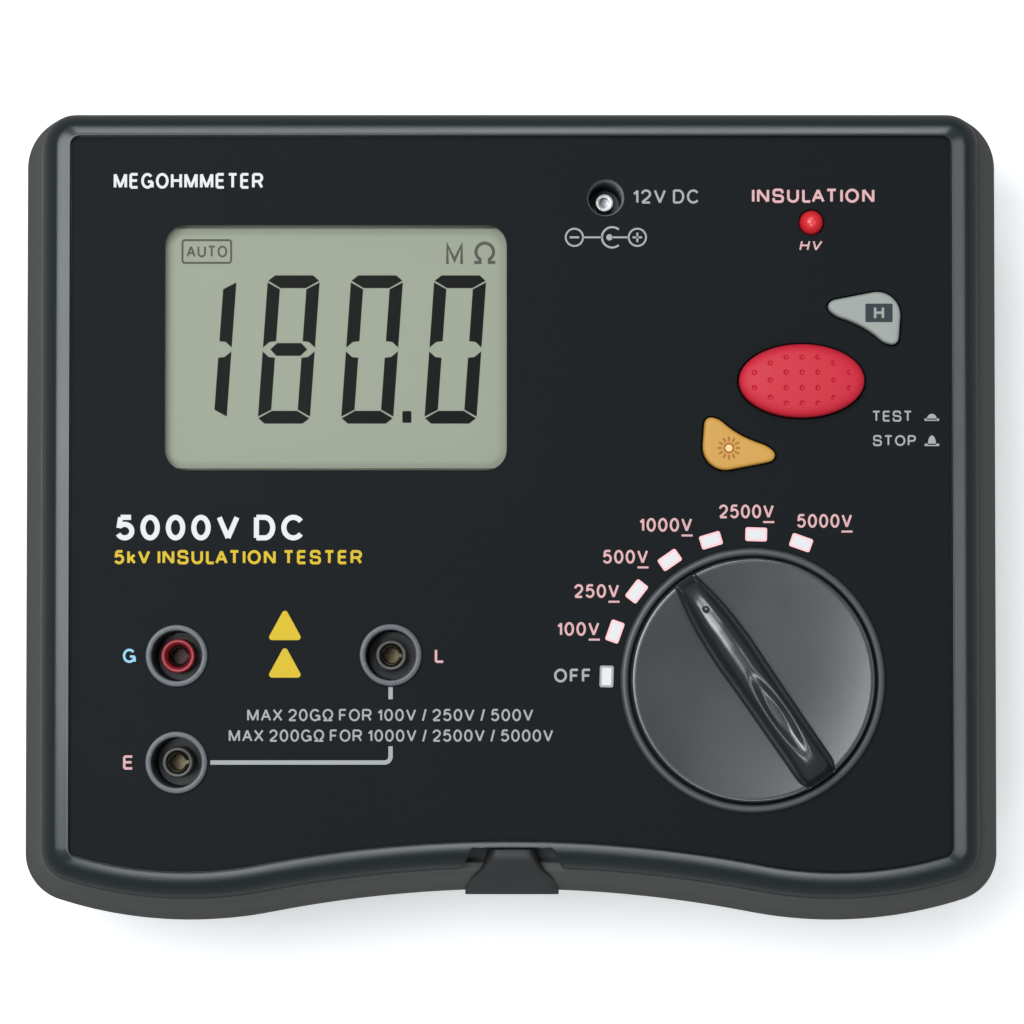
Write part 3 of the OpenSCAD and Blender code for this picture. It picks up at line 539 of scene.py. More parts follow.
def half_outline(side, rear, front, notch, centre):
    """Right half of an outline, from the front's middle to the rear's, with the catch notch cut into it."""
    hw = CASE_W / 2 - side
    r = CORNER_R - CORNER_SHARE * side
    lr = LOBE_R - front
    wr = WAVE_R + front
    cy = LOBE_Y - math.sqrt((lr - r) ** 2 - (hw - r - LOBE_X) ** 2)
    ca = math.degrees(math.atan2(cy - LOBE_Y, hw - r - LOBE_X))
    x = centre + MIDDLE_X
    y = WAVE_Y + np.sqrt(wr ** 2 - x ** 2)
    depth = notch * np.maximum(0, NOTCH_Y - y)
    reach = FLANK_RUN + FLANK_SLOPE * depth
    y = y + depth * smooth((NOTCH_HALF + NOTCH_FLARE * depth + reach / 2 - MIDDLE_X) / reach)
    first = math.degrees(math.acos(x[-1] / wr))
    points = list(zip(x, y))
    points += arc_points(0, WAVE_Y, wr, first, 90 - WAVE_DEG, 16)[1:]
    points += arc_points(LOBE_X, LOBE_Y, lr, 270 - WAVE_DEG, 360 + ca, 44)[1:]
    points += arc_points(hw - r, cy, r, 360 + ca, 360, 18)[1:]
    straight = REAR_Y - rear - r
    points += [(hw, cy + (straight - cy) * k / 12) for k in range(1, 12)]
    points += arc_points(hw - r, straight, r, 0, 90, 18)
    points += [((hw - r) * (1 - k / 9), REAR_Y - rear) for k in range(1, 10)]
    return points


def outline(side, rear, front, notch=0.0):
    right = half_outline(side, rear, front, notch, NOTCH_X)
    left = half_outline(side, rear, front, notch, -NOTCH_X)
    return right + [(-x, y) for x, y in reversed(left[1:-1])]


def soften(sections, rounds=2):
    """Cuts the corners of a closed loop of sections, so that it turns smoothly."""
    loop = np.array(sections, float)
    for _ in range(rounds):
        ahead = np.roll(loop, -1, axis=0)
        loop = np.stack([CUT_FAR * loop + CUT_NEAR * ahead, CUT_NEAR * loop + CUT_FAR * ahead], axis=1)
        loop = loop.reshape(-1, loop.shape[-1])
    return loop


def wall(shape, sections):
    """A closed wall: a section is height, side, rear and front inset, and share of the notch."""
    rings = [[(x, y, s[0]) for x, y in outline(s[1], s[2], s[3], s[4])] for s in sections]
    shape.add([p for ring in rings for p in ring], ring_faces(len(rings), len(rings[0]), closed=True))


# Upper shell: bezel wall, deck and its bosses

bezel = Shape()
wall(bezel, soften([
    (64.0, 5.3, 0.0, 5.9, 1), (64.3, 5.25, -0.02, 5.85, 1), (66.0, 5.3, 0.03, 5.9, 1),
    (69.5, 5.75, 0.45, 6.3, 1), (72.6, 6.7, 1.2, 7.2, 1), (74.6, 7.8, 2.1, 8.3, 1),
    (75.75, 8.7, 2.9, 9.3, 1), (76.15, 9.3, 3.5, 10.0, 1), (76.4, 10.3, 4.2, 10.7, 1),
    (76.68, 11.8, 5.2, 11.7, 0.5), (76.88, 12.75, 6.15, 12.6, 0), (76.88, 13.05, 6.45, 12.85, 0),
    (76.6, 13.18, 6.58, 12.98, 0), (75.6, 13.2, 6.6, 13.0, 0), (74.4, 13.2, 6.6, 13.0, 0),
    (73.8, 13.2, 6.6, 13.0, 0), (70.0, 9.8, 4.8, 10.4, 0.5),
    (61.5, 9.8, 4.8, 10.4, 0.5), (61.5, 8.15, 3.2, 8.75, 1), (64.0, 8.15, 3.2, 8.75, 1)]))
bezel.piece("bezel_shell", "case", "bezel_plastic", replaces=["upper_case"])


def hull(points):
    """Convex hull of points, anticlockwise."""
    points = sorted(points)
    halves = []
    for run in (points, points[::-1]):
        chain = []
        for p in run:
            while len(chain) > 1 and cross(chain[-2], chain[-1], p) <= 0:
                chain.pop()
            chain.append(p)
        halves += chain[:-1]
    return halves


def cross(a, b, c):
    return (b[0] - a[0]) * (c[1] - a[1]) - (b[1] - a[1]) * (c[0] - a[0])


def ray_reach(core, ray, loop):
    """Distance from a point inside a convex loop to the loop, along a ray."""
    best = 1e9
    for p, q in zip(loop, loop[1:] + loop[:1]):
        edge = np.array(q) - p
        flat = ray[0] * edge[1] - ray[1] * edge[0]
        if abs(flat) < 1e-9:
            continue
        to = np.array(p) - core
        along = (to[0] * edge[1] - to[1] * edge[0]) / flat
        part = (to[0] * ray[1] - to[1] * ray[0]) / flat
        if along > 0 and -1e-6 <= part <= 1 + 1e-6:
            best = min(best, along)
    return best


def key_outline():
    """Outline of a small key in the oval key's axes: three rounded corners, hollow side towards the oval."""
    discs = circle((8.4, 18.9), 1.7, 48) + circle((23.0, 10.9), 1.7, 48) + circle(KEY_POST, 5.9, 96)
    shell = hull(discs)
    core = np.array(KEY_CORE)
    points = []
    for k in range(180):
        ray = np.array((math.cos(math.pi * k / 90), math.sin(math.pi * k / 90)))
        reach = min(ray_reach(core, ray, shell), ellipse_reach(core, ray, (25.0, 17.5)))
        points.append(tuple(core + ray * reach))
    return relax(points, 3)


def ellipse_reach(core, ray, half):
    """Distance from core along ray to where it enters an ellipse about the origin."""
    p = np.array(core) / half
    d = ray / half
    b = p @ d
    inner = b * b - (d @ d) * (p @ p - 1)
    if inner <= 0 or b >= 0:
        return 1e9
    return (-b - math.sqrt(inner)) / (d @ d)


def relax(points, rounds):
    """Rounds off the corners of a closed outline a little."""
    p = np.array(points)
    for _ in range(rounds):
        p = 0.5 * p + 0.25 * (np.roll(p, 1, axis=0) + np.roll(p, -1, axis=0))
    return [tuple(q) for q in p]


def turned(points, degrees, at):
    c = math.cos(math.radians(degrees))
    s = math.sin(math.radians(degrees))
    return [(at[0] + x * c - y * s, at[1] + x * s + y * c) for x, y in points]


KEY_PLAN = key_outline()
KEY_TURN = {"hold_key": 0, "light_key": 180}
PANEL_HOLES = [
    rounded_rect(LCD_SIZE[0] + 0.3, LCD_SIZE[1] + 0.3, LCD_R, LCD_AT),
    circle(LINE_AT, 7.6), circle(EARTH_AT, 7.6), circle(GUARD_AT, 7.6),
    circle(DC_AT, 4.8), circle(LED_AT, 3.3, 40),
    ellipse(TEST_HALF[0] + KEY_GAP, TEST_HALF[1] + KEY_GAP, 96, TEST_AT),
    turned(inset(KEY_PLAN, -KEY_GAP), 0, TEST_AT), turned(inset(KEY_PLAN, -KEY_GAP), 180, TEST_AT)]

deck = Shape()
plate(deck, [outline(12.2, 5.6, 12.0)] + PANEL_HOLES + [circle(KNOB_AT, 6.1)], UNDER_Z, DECK_Z)
for post in BOSS_AT:
    tube(deck, 4.6, 1.55, 58.3, UNDER_Z, post)
for post in POST_AT:
    tube(deck, 3.4, 1.25, 58.6, UNDER_Z, post)
deck.piece("deck_plate", "case", "bezel_plastic")

film = Shape()
plate(film, [outline(13.3, 6.7, 13.1)] + PANEL_HOLES + [circle(KNOB_AT, 9.2)], DECK_Z, PANEL_Z, 0.12)
film.piece("panel_film", "case", "panel_film", replaces=["panel_overlay"])


# Lower shell: wall, floor, bosses, cell bay, and the catch ramp with its lip

shell = Shape()
wall(shell, soften([
    (3.4, 10.0, 10.0, 10.0, 0), (3.4, 8.0, 8.0, 8.0, 0), (3.9, 6.3, 6.3, 6.3, 0), (6.5, 4.4, 4.4, 4.4, 0),
    (12.0, 3.6, 3.2, 3.6, 0), (22.0, 2.4, 2.0, 2.4, 0), (32.0, 1.4, 1.0, 1.4, 0),
    (46.0, 0.15, 0.05, 0.15, 0), (50.0, -0.05, -0.02, 0.0, 0), (54.0, 0.1, -0.03, 0.15, 0),
    (58.5, 1.0, -0.03, 1.1, 0), (62.0, 2.8, -0.02, 3.0, 0), (63.7, 4.4, -0.02, 4.9, 0),
    (64.0, 4.9, 0.3, 5.5, 0), (64.0, 7.8, 2.9, 8.4, 0), (58.5, 5.2, 3.0, 5.4, 0),
    (48.0, 3.2, 3.0, 3.2, 0), (15.0, 6.6, 6.2, 6.6, 0), (9.0, 9.6, 9.6, 9.6, 0),
    (3.4, 12.0, 12.0, 12.0, 0)]))
shell.piece("case_shell", "case", "case_plastic", replaces=["lower_case"])

COVER_EDGE_Z = 6.1
POST_FOOT_Z = FLOOR_Z - 1
BOSS_BORE = 4.2
POWER_POST_AT = [(-94, -24), (20, -24), (-94, -78), (20, -78)]
floor_edge = outline(9.3, 9.3, 9.3)
floor_holes = [circle(post, BOSS_BORE, 40) for post in BOSS_AT]
foot_holes = [circle(foot, 7.2, 48) for foot in FOOT_AT]
bay_low = rounded_rect(BAY_SIZE[0] + 8, BAY_SIZE[1] + 17, 3, BAY_AT)
bay_high = rounded_rect(BAY_SIZE[0], BAY_SIZE[1], 0.6, BAY_AT, 4)
bay_wall = rounded_rect(BAY_SIZE[0] + 4.4, BAY_SIZE[1] + 4.4, 2, BAY_AT)
under = Shape()
plate(under, [floor_edge, bay_low] + floor_holes + foot_holes, BASE_Z, COVER_EDGE_Z)
plate(under, [floor_edge, bay_high] + floor_holes, COVER_EDGE_Z, FLOOR_Z)
plate(under, [bay_wall, bay_high], FLOOR_Z, 25, 0.5)
for post in BOSS_AT:
    revolve(under, [(BOSS_BORE, POST_FOOT_Z), (5.4, POST_FOOT_Z), (5.4, 58), (2.2, 58), (2.2, 46),
                    (BOSS_BORE, 46)], post, 40)
for post in POWER_POST_AT:
    tube(under, 3.2, 1.25, POST_FOOT_Z, 30, post)
under.piece("case_floor", "case", "case_plastic")

RAMP_PROFILE = [(-96.4, 56.0), (-96.2, 56.4), (-95.2, 60.4), (-94.8, 61.1), (-93.4, 62.6), (-91.6, 65.4),
                (-89.4, 69.4), (-87.4, 72.4), (-86.2, 73.0), (-84.5, 73.0)]
RAMP_HALF = [(-96.4, 12.0), (-93.0, 12.0), (-92.0, 11.5), (-90.6, 9.6), (-89.2, 8.2), (-87.6, 7.2),
             (-85.6, 6.5), (-84.5, 6.3)]
RAMP_FLOOR = 55.0
# A darker copy of the case plastic: painted shade for the catch ramp, which sits in the notch under the bezel
RAMP_SHADE_SKIN = material("ramp_plastic_painted_shade", (52, 53, 55), 0.5, grain=0.5, depth=0.02, specular=0.3)


def averaged(table, at, pad=4):
    """A table's values at evenly spaced places, each the mean of its near ones."""
    values = np.pad(np.interp(at, *zip(*table)), pad, mode="edge")
    window = 2 * pad + 1
    return np.convolve(values, np.ones(window) / window, mode="valid")


ramp = Shape()
ramp_y = np.linspace(RAMP_PROFILE[0][0], RAMP_PROFILE[-1][0], 96)
ramp_top = averaged(RAMP_PROFILE, ramp_y)
ramp_half = averaged(RAMP_HALF, ramp_y)
across = np.sin(np.linspace(-1, 1, 61) * math.pi / 2)
fall = 1 - np.abs(across) ** 9
rings = []
for y, top, half in zip(ramp_y, ramp_top, ramp_half):
    height = top - RAMP_FLOOR
    rings.append([(NOTCH_X + s * half, y, RAMP_FLOOR + height * f ** 0.4) for s, f in zip(across, fall)])
n_across = len(across)
verts = [p for ring in rings for p in ring] + [(p[0], p[1], RAMP_FLOOR - 1) for ring in rings for p in ring]
half_count = len(verts) // 2
faces = []
for j in range(len(rings) - 1):
    for i in range(n_across - 1):
        quad = (j * n_across + i, j * n_across + i + 1, (j + 1) * n_across + i + 1, (j + 1) * n_across + i)
        faces.append(quad)
        faces.append(tuple(half_count + q for q in reversed(quad)))
rim = list(range(n_across)) + [j * n_across + n_across - 1 for j in range(1, len(rings))]
rim += [(len(rings) - 1) * n_across + i for i in range(n_across - 2, -1, -1)]
rim += [j * n_across for j in range(len(rings) - 2, 0, -1)]
faces += [(a, b, half_count + b, half_count + a) for a, b in zip(rim, rim[1:] + rim[:1])]
ramp.add(verts, faces)
plate(ramp, [rounded_rect(25.0, 7.4, 1.0, (NOTCH_X, -87.4))], 60.6, 61.6)
# The whole ramp, its base plate too, wears the painted-shade copy of the case plastic
ramp.piece("catch_ramp", "case", "case_plastic", RAMP_SHADE_SKIN)


# Knob: a dished disc with a rounded grip ridge, a pointer dot and a thumb recess. The two tables give the
# ridge's half width and the height of its crest along the pointer's axis.

RIDGE_HALF = [(-30.6, 3.2), (-29.5, 4.1), (-28.4, 4.55), (-27.0, 4.75), (-20, 4.75), (0, 4.9), (9, 5.1),
              (17.5, 4.7), (21.7, 4.2), (26, 3.45), (30.6, 2.5)]
RIDGE_CREST = [(-30.6, 81.2), (-30.0, 82.8), (-29.0, 84.5), (-27.5, 86.0), (-25.0, 87.3), (-22.0, 88.1),
               (-18.0, 88.5), (-8.0, 88.75), (10, 88.7), (16, 88.3), (21, 87.4), (25, 86.2), (27.8, 84.8),
               (29.6, 83.2), (30.6, 81.2)]
DISH = 1.15
DISH_POWER = 2.6
DISH_R = 30.2
RECESS_MID = (-10.3, 0.0)
RECESS_HALF = (13.7, 2.9)
RECESS_DEPTH = 2.0
DOT_U = 21.6
DOT_R = 0.8
DOT_DEPTH = 0.6
RIDGE_END = 30.6


def dish_z(r):
    """Height of the disc's face at a radius."""
    return KNOB_Z1 - DISH * (1 - np.minimum(r / DISH_R, 1) ** DISH_POWER)


def curve_through(table, u):
    """Smooth values between the points of a table: the straight run between them, averaged over a short
    window.
    """
    x, y = zip(*table)
    near = np.linspace(-1.2, 1.2, 13)
    return np.mean([np.interp(u + d, x, y) for d in near], axis=0)


knob = Shape()
profile = [(r, float(dish_z(r))) for r in np.linspace(0, DISH_R, 40)]
profile += [(30.5, KNOB_Z1 - 0.08), (30.72, KNOB_Z1 - 0.25), (30.84, KNOB_Z1 - 0.6), (30.88, KNOB_Z1 - 1.6)]
profile += [(KNOB_R, 77.0), (30.8, 76.3), (30.5, KNOB_Z0), (28.2, KNOB_Z0), (28.0, 76.3), (28.0, 78.0)]
profile += [(9.0, 78.0), (9.0, KNOB_Z0), (3.05, KNOB_Z0), (3.03, 78.0), (0, 78.0)]
revolve(knob, profile, (0, 0), 192)

stations = np.sin(np.linspace(-1, 1, 260) * math.pi / 2) * RIDGE_END
half = curve_through(RIDGE_HALF, stations)
crest = curve_through(RIDGE_CREST, stations)
crest[0] = crest[-1] = KNOB_Z1
sweep = np.linspace(-1, 1, 121)
rings = []
for u, b, top in zip(stations, half, crest):
    t = np.sign(sweep) * np.abs(sweep) ** 0.8
    body_v = t * b
    share = np.abs(t)
    lift = (1 - share ** 2.7) ** (1 / 2.1)
    base = dish_z(np.hypot(u, body_v)) - 0.05
    z = base + (np.maximum(top, base + 0.2) - base) * lift
    rho = np.hypot((u - RECESS_MID[0]) / RECESS_HALF[0], (body_v - RECESS_MID[1]) / RECESS_HALF[1])
    z = z - RECESS_DEPTH * smooth((1.08 - rho) / 0.85)
    dot = np.hypot(u - DOT_U, body_v) / DOT_R
    z = z - DOT_DEPTH * smooth(1.3 - dot)
    flare = [(b + 1.0, -0.25), (b + 0.62, 0.02), (b + 0.32, 0.2), (b + 0.12, 0.5)]
    left = [(u, -v, float(dish_z(math.hypot(u, v))) + h) for v, h in flare]
    right = [(u, v, float(dish_z(math.hypot(u, v))) + h) for v, h in reversed(flare)]
    foot = [(u, b + 0.8, 78.25), (u, 0, 78.2), (u, -b - 0.8, 78.25)]
    rings.append(left + [(u, v, h) for v, h in zip(body_v[2:-2], z[2:-2])] + right + foot)
loft(knob, rings)
knob.verts = [(*turned([(x, y)], POINTER_DEG, KNOB_AT)[0], z) for x, y, z in knob.verts]
knob.piece("knob_grip", "selector", "knob_plastic", replaces=["selector_knob"], crease=50, weighted=False)

# Collar round the knob, with a rounded lip that comes close to it
COLLAR_LIP = [(31.4, 0.0), (31.4, 0.9), (31.55, 1.3), (31.9, 1.52), (32.4, 1.58), (32.9, 1.5), (33.3, 1.25),
              (33.52, 0.8), (33.6, 0.0)]
collar = Shape()
revolve(collar, [(r, PANEL_Z + h) for r, h in COLLAR_LIP + COLLAR_LIP[:1]], KNOB_AT, 192)
collar.piece("collar_lip", "case", "collar_plastic", replaces=["knob_collar"])


# Keys

DIMPLE_X = 4.03
DIMPLE_COLUMNS = {-3: 2, -2: 3, -1: 4, 0: 4, 1: 4, 2: 3, 3: 2}
DIMPLE_Y = {2: 3.95, 3: 4.4, 4: 3.9}
DIMPLE_R = 0.72
DIMPLE_DEPTH = 0.5
SIDE_Z = 77.3
SKIRT_Z = 70.4
test_cap = Shape()
a, b = TEST_HALF
dimples = [(col * DIMPLE_X, (row - (count - 1) / 2) * DIMPLE_Y[count])
           for col, count in DIMPLE_COLUMNS.items() for row in range(count)]
turns = 320
rings = [[(x, y, SKIRT_Z) for x, y in ellipse(a - 1.6, b - 1.6, turns)],
         [(x, y, SKIRT_Z) for x, y in ellipse(a, b, turns)],
         [(x, y, SIDE_Z - 0.3) for x, y in ellipse(a, b, turns)]]
for rho in np.concatenate([np.linspace(1, 0.93, 12), np.linspace(0.92, 0.02, 92)]):
    x, y = np.array(ellipse(a * rho, b * rho, turns)).T
    z = SIDE_Z + (TEST_TOP - 0.05 - SIDE_Z) * (1 - rho ** 3.4) ** 0.5 * np.ones_like(x)
    for dx, dy in dimples:
        z -= DIMPLE_DEPTH * smooth((1.15 - np.hypot(x - dx, y - dy) / DIMPLE_R) / 0.9)
    rings.append(list(zip(x, y, z)))
rings = [[(TEST_AT[0] + x, TEST_AT[1] + y, z) for x, y, z in ring] for ring in rings]
loft(test_cap, [[(x, y, 75.0) for x, y, _ in rings[0]]] + rings)
test_cap.piece("test_key_cap", "test_key", "red_rubber", replaces=["test_button"], weighted=False)

# Insets and heights of a small key's rounded edge, and the shares of its outline that make its crown
KEY_EDGE = [(0.0, 71.2), (0.0, 76.6), (0.04, 76.9), (0.16, 77.15), (0.36, 77.34), (0.62, 77.46), (0.9, 77.52)]
KEY_CROWN = (0.86, 0.72, 0.58, 0.44, 0.3, 0.16, 0.05)
CROWN_RISE = 0.07
SMALL_KEYS = [("hold_key", "grey_rubber", "hold_button"), ("light_key", "amber_rubber", "light_button")]
for name, skin, node in SMALL_KEYS:
    cap = Shape()
    rings = [[(x, y, z) for x, y in inset(KEY_PLAN, d)] for d, z in KEY_EDGE]
    last = rings[-1]
    for k in KEY_CROWN:
        z = KEY_EDGE[-1][1] + CROWN_RISE * (1 - k * k)
        rings.append([(KEY_CORE[0] + (x - KEY_CORE[0]) * k, KEY_CORE[1] + (y - KEY_CORE[1]) * k, z)
                      for x, y, _ in last])
    rings = [[(*turned([(x, y)], KEY_TURN[name], TEST_AT)[0], z) for x, y, z in ring] for ring in rings]
    loft(cap, rings)
    cap.piece(name + "_cap", name, skin, replaces=[node], weighted=False)

SIGN_LOW = 77.45
SIGN_HIGH = 77.62
SIGN_STEP = 0.03
HOLD_SIGN = (93.3, 51.5)
LIGHT_SIGN = (55.2, 17.2)
sign = Shape()
plate(sign, [rounded_rect(6.9, 4.7, 0.3, HOLD_SIGN, 3)], SIGN_LOW, SIGN_HIGH)
sign.piece("hold_sign_field", "hold_key", "grey_rubber", INK["dark"])
sign = Shape()
letters(sign, "H", HOLD_SIGN, 3.3, SIGN_LOW, SIGN_HIGH + SIGN_STEP, width=2.7, weight=0.19)
sign.piece("hold_sign_letter", "hold_key", "grey_rubber")
sign = Shape()
slab(sign, circle(LIGHT_SIGN, 0.85, 24), SIGN_LOW, SIGN_HIGH + SIGN_STEP)
sign.piece("light_sign_core", "light_key", "amber_rubber", INK["peach"])
sign = Shape()
plate(sign, [circle(LIGHT_SIGN, 1.4, 32), circle(LIGHT_SIGN, 0.9, 32)], SIGN_LOW, SIGN_HIGH)
for k in range(12):
    way = math.radians(30 * k)
    ray = np.array((math.cos(way), math.sin(way)))
    ribbon(sign, [LIGHT_SIGN + ray * 1.75, LIGHT_SIGN + ray * 2.9], 0.5, SIGN_LOW, SIGN_HIGH)
sign.piece("light_sign_rays", "light_key", "amber_rubber", INK["brown"])


# Return spring of the oval key, a coil of wire with a mesh of its own

SPRING_R = 3.6
WIRE_R = 0.35
SPRING_TURNS = 5
TURN_STEPS = 32
WIRE_SIDES = 10
SPRING_Z = (65.0, 72.6)
coil = Shape()
rings = []
for k in range(TURN_STEPS * SPRING_TURNS + 1):
    turn = 2 * math.pi * k / TURN_STEPS
    z = SPRING_Z[0] + (SPRING_Z[1] - SPRING_Z[0]) * k / (TURN_STEPS * SPRING_TURNS)
    ring = []
    for side in range(WIRE_SIDES):
        a = 2 * math.pi * side / WIRE_SIDES
        r = SPRING_R + WIRE_R * math.cos(a)
        at = (TEST_AT[0] + r * math.cos(turn), TEST_AT[1] + r * math.sin(turn))
        ring.append((*at, z + WIRE_R * math.sin(a)))
    rings.append(ring)
loft(coil, rings)
spring = coil.piece("test_key_spring", "case", "spring_steel", replaces=["test_spring"], weighted=False)
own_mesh(spring)


# Socket cores: a rounded sleeve with a funnel, and a contact in two halves inside it

SLEEVE_TOP = 71.2
SLEEVE_FOOT = 56.0
SLEEVE_BORE = 2.75
LIP_R = 0.55
CONTACT_R = 2.62
CONTACT_BORE = 2.0
CONTACT_FLOOR = SLEEVE_FOOT + 0.8
# A darker copy of the contact metal: painted shade for the guard's contact, deep in its hole
SHADED_CONTACT = material("contact_painted_shade", (58, 42, 40), 0.4, grain=0.15, depth=0.004, metal=0.7)
# Name, place, sleeve's radius and slot, contact's top, and a material other than the contact's slot, which
# for the guard is the painted-shade copy of the contact metal
SOCKETS = [("line", LINE_AT, 3.95, "sleeve_plastic", 70.3, None),
           ("earth", EARTH_AT, 3.95, "sleeve_plastic", 70.3, None),
           ("guard", GUARD_AT, 4.35, "red_plastic", 64.5, SHADED_CONTACT)]
for name, at, sleeve_r, sleeve_slot, contact_top, contact_shade_skin in SOCKETS:
    core = Shape()
    lip = bow(sleeve_r - LIP_R, SLEEVE_TOP - LIP_R, LIP_R, LIP_R, 0, 160, 10)
    revolve(core, [(SLEEVE_BORE, SLEEVE_FOOT), (sleeve_r, SLEEVE_FOOT)] + lip
            + [(2.95, SLEEVE_TOP - 1.5), (SLEEVE_BORE, SLEEVE_TOP - 2.4)], at, 80)
    core.piece(name + "_sleeve_lip", "case", sleeve_slot, replaces=[name + "_socket_sleeve"])
    core = Shape()
    for turn in (90, 270):
        arc = [math.radians(turn + d) for d in np.linspace(-78, 78, 28)]
        rings = []
        for a in arc:
            ring = [(CONTACT_BORE, SLEEVE_FOOT), (CONTACT_R, SLEEVE_FOOT), (CONTACT_R, contact_top - 0.3),
                    (CONTACT_R - 0.2, contact_top), (CONTACT_BORE + 0.15, contact_top - 0.1),
                    (CONTACT_BORE, contact_top - 0.4)]
            rings.append([(at[0] + r * math.cos(a), at[1] + r * math.sin(a), z) for r, z in ring])
        loft(core, rings)
    revolve(core, [(0, SLEEVE_FOOT), (CONTACT_R, SLEEVE_FOOT), (CONTACT_R, CONTACT_FLOOR),
                   (0, CONTACT_FLOOR)], at, 32)
    core.piece(name + "_contact_halves", "case", "contact_metal", contact_shade_skin,
               replaces=[name + "_socket_contact"], crease=50)


# Display: digits, point and signs in the cell, seen through the window

DIGIT_W = 13.25
DIGIT_H = 37.8
STROKE = 3.25
GAP = 0.42
CHAMFER = 1.5
DIGIT_Y = 23.7
SLANT = math.tan(math.radians(4))
INK_LOW = LCD_TOP - 0.05
INK_HIGH = LCD_TOP + 0.06
LIT = {"1": "bc", "8": "abcdefg", "0": "abcdef"}
READING = [("1", -84.4), ("8", -63.2), ("0", -42.0), ("0", -20.8)]
AUTO_AT = (-77.5, 67.6)


def segment_shapes():
    """The seven bars of a digit whose lower left corner is the origin, lettered a to g from the top."""
    w, h, t, c = DIGIT_W, DIGIT_H, STROKE, CHAMFER
    g = GAP / 2 * 1.4
    m = h / 2
    top = [(c + g, h), (w - c - g, h), (w - g / 2, h - c + g / 2), (w - t - g / 2, h - t), (t + g / 2, h - t),
           (g / 2, h - c + g / 2)]
    upper = [(w, h - c - g), (w, m + g + 0.2), (w - t / 2, m + t / 2 + g), (w - t, m + t / 2 + 2 * g - 0.1),
             (w - t, h - t - g)]
    middle = [(t / 2 + g, m), (t + g, m + t / 2), (w - t - g, m + t / 2), (w - t / 2 - g, m),
              (w - t - g, m - t / 2), (t + g, m - t / 2)]

    def flip_x(shape):
        return [(w - x, y) for x, y in shape]

    def flip_y(shape):
        return [(x, h - y) for x, y in shape]

    return {"a": top, "b": upper, "c": flip_y(upper), "d": flip_y(top), "e": flip_x(flip_y(upper)),
            "f": flip_x(upper), "g": middle}


def leaned(points, x0):
    """Points of a digit placed at x0 and leaned about the middle height."""
    return [(x0 + x + (y - DIGIT_H / 2) * SLANT, DIGIT_Y + y) for x, y in points]


BARS = segment_shapes()
digits = Shape()
for digit, x0 in READING:
    for bar in LIT[digit]:
        slab(digits, leaned(BARS[bar], x0), INK_LOW, INK_HIGH)
slab(digits, rounded_rect(2.3, 3.0, 0.3, (-26.5, 25.4), 3), INK_LOW, INK_HIGH)
digits.piece("lcd_digits", "case", "lcd_cell", INK["segment_ink"])

signs = Shape()
ribbon(signs, rounded_rect(12.4, 5.8, 0.6, AUTO_AT, 4), 0.5, INK_LOW, INK_HIGH, closed=True)
letters(signs, "AUTO", AUTO_AT, 3.0, INK_LOW, INK_HIGH, width=10.4, weight=0.16)
mega = [(-16.2, 64.4), (-16.2, 69.2), (-14.4, 65.4), (-12.6, 69.2), (-12.6, 64.4)]
ribbon(signs, mega, 0.72, INK_LOW, INK_HIGH)
omega = [(-9.4, 64.8), (-7.9, 64.8), (-7.9, 65.5)]
omega += arc_points(-6.7, 67.5, 2.25, 238, -58, 22)
omega += [(-5.5, 65.5), (-5.5, 64.8), (-4.0, 64.8)]
ribbon(signs, omega, 0.8, INK_LOW, INK_HIGH)
signs.piece("lcd_signs", "case", "lcd_cell", INK["sign_ink"])


# Printed legends, each a thin layer on the panel

PRINT_LOW = PANEL_Z - 0.02
PRINT_HIGH = PANEL_Z + 0.03
printed = {}


def ink(name):
    return printed.setdefault(name, Shape())


def label(ink_name, text, at, cap, width, weight=0.15, slant=0.0):
    letters(ink(ink_name), text, at, cap, PRINT_LOW, PRINT_HIGH, width, weight, slant)


def stroke(ink_name, points, width, closed=False):
    ribbon(ink(ink_name), points, width, PRINT_LOW, PRINT_HIGH, closed)


VOLT_CAP = 3.5
VOLT_LABELS = [("100V", (17.0, -28.6), 10.8), ("250V", (21.7, -19.0), 11.4), ("500V", (29.0, -10.3), 11.5),
               ("1000V", (39.2, -2.2), 13.5), ("2500V", (59.7, 1.2), 13.9), ("5000V", (79.5, -1.2), 14.0)]
for text, at, width in VOLT_LABELS:
    label("pink", text, at, VOLT_CAP, width, weight=0.16)
    right = at[0] + width / 2
    low = at[1] - VOLT_CAP / 2 - 0.95
    stroke("pink", [(right - 2.7, low), (right + 0.1, low)], 0.5)
label("grey", "OFF", (15.6, -40.4), VOLT_CAP, 9.5, weight=0.17)

MARK_R = 37.0
MARK_W = 3.5
MARK_L = 5.5
MARK_EDGE = 1.1
OFF_DEG = 178.5
STEP_DEG = 18.0
for k in range(7):
    angle = OFF_DEG - STEP_DEG * k
    way = math.radians(angle)
    at = (KNOB_AT[0] + MARK_R * math.cos(way), KNOB_AT[1] + MARK_R * math.sin(way))
    outer = rounded_rect(MARK_W, MARK_L, 0.5, (0, 0), 3)
    inner = rounded_rect(MARK_W - MARK_EDGE, MARK_L - MARK_EDGE, 0.3, (0, 0), 3)
    slab(ink("grey" if k == 0 else "rose"), turned(outer, angle, at), PRINT_LOW, PRINT_HIGH)
    slab(ink("white"), turned(inner, angle, at), PRINT_LOW, PRINT_HIGH + 0.02)

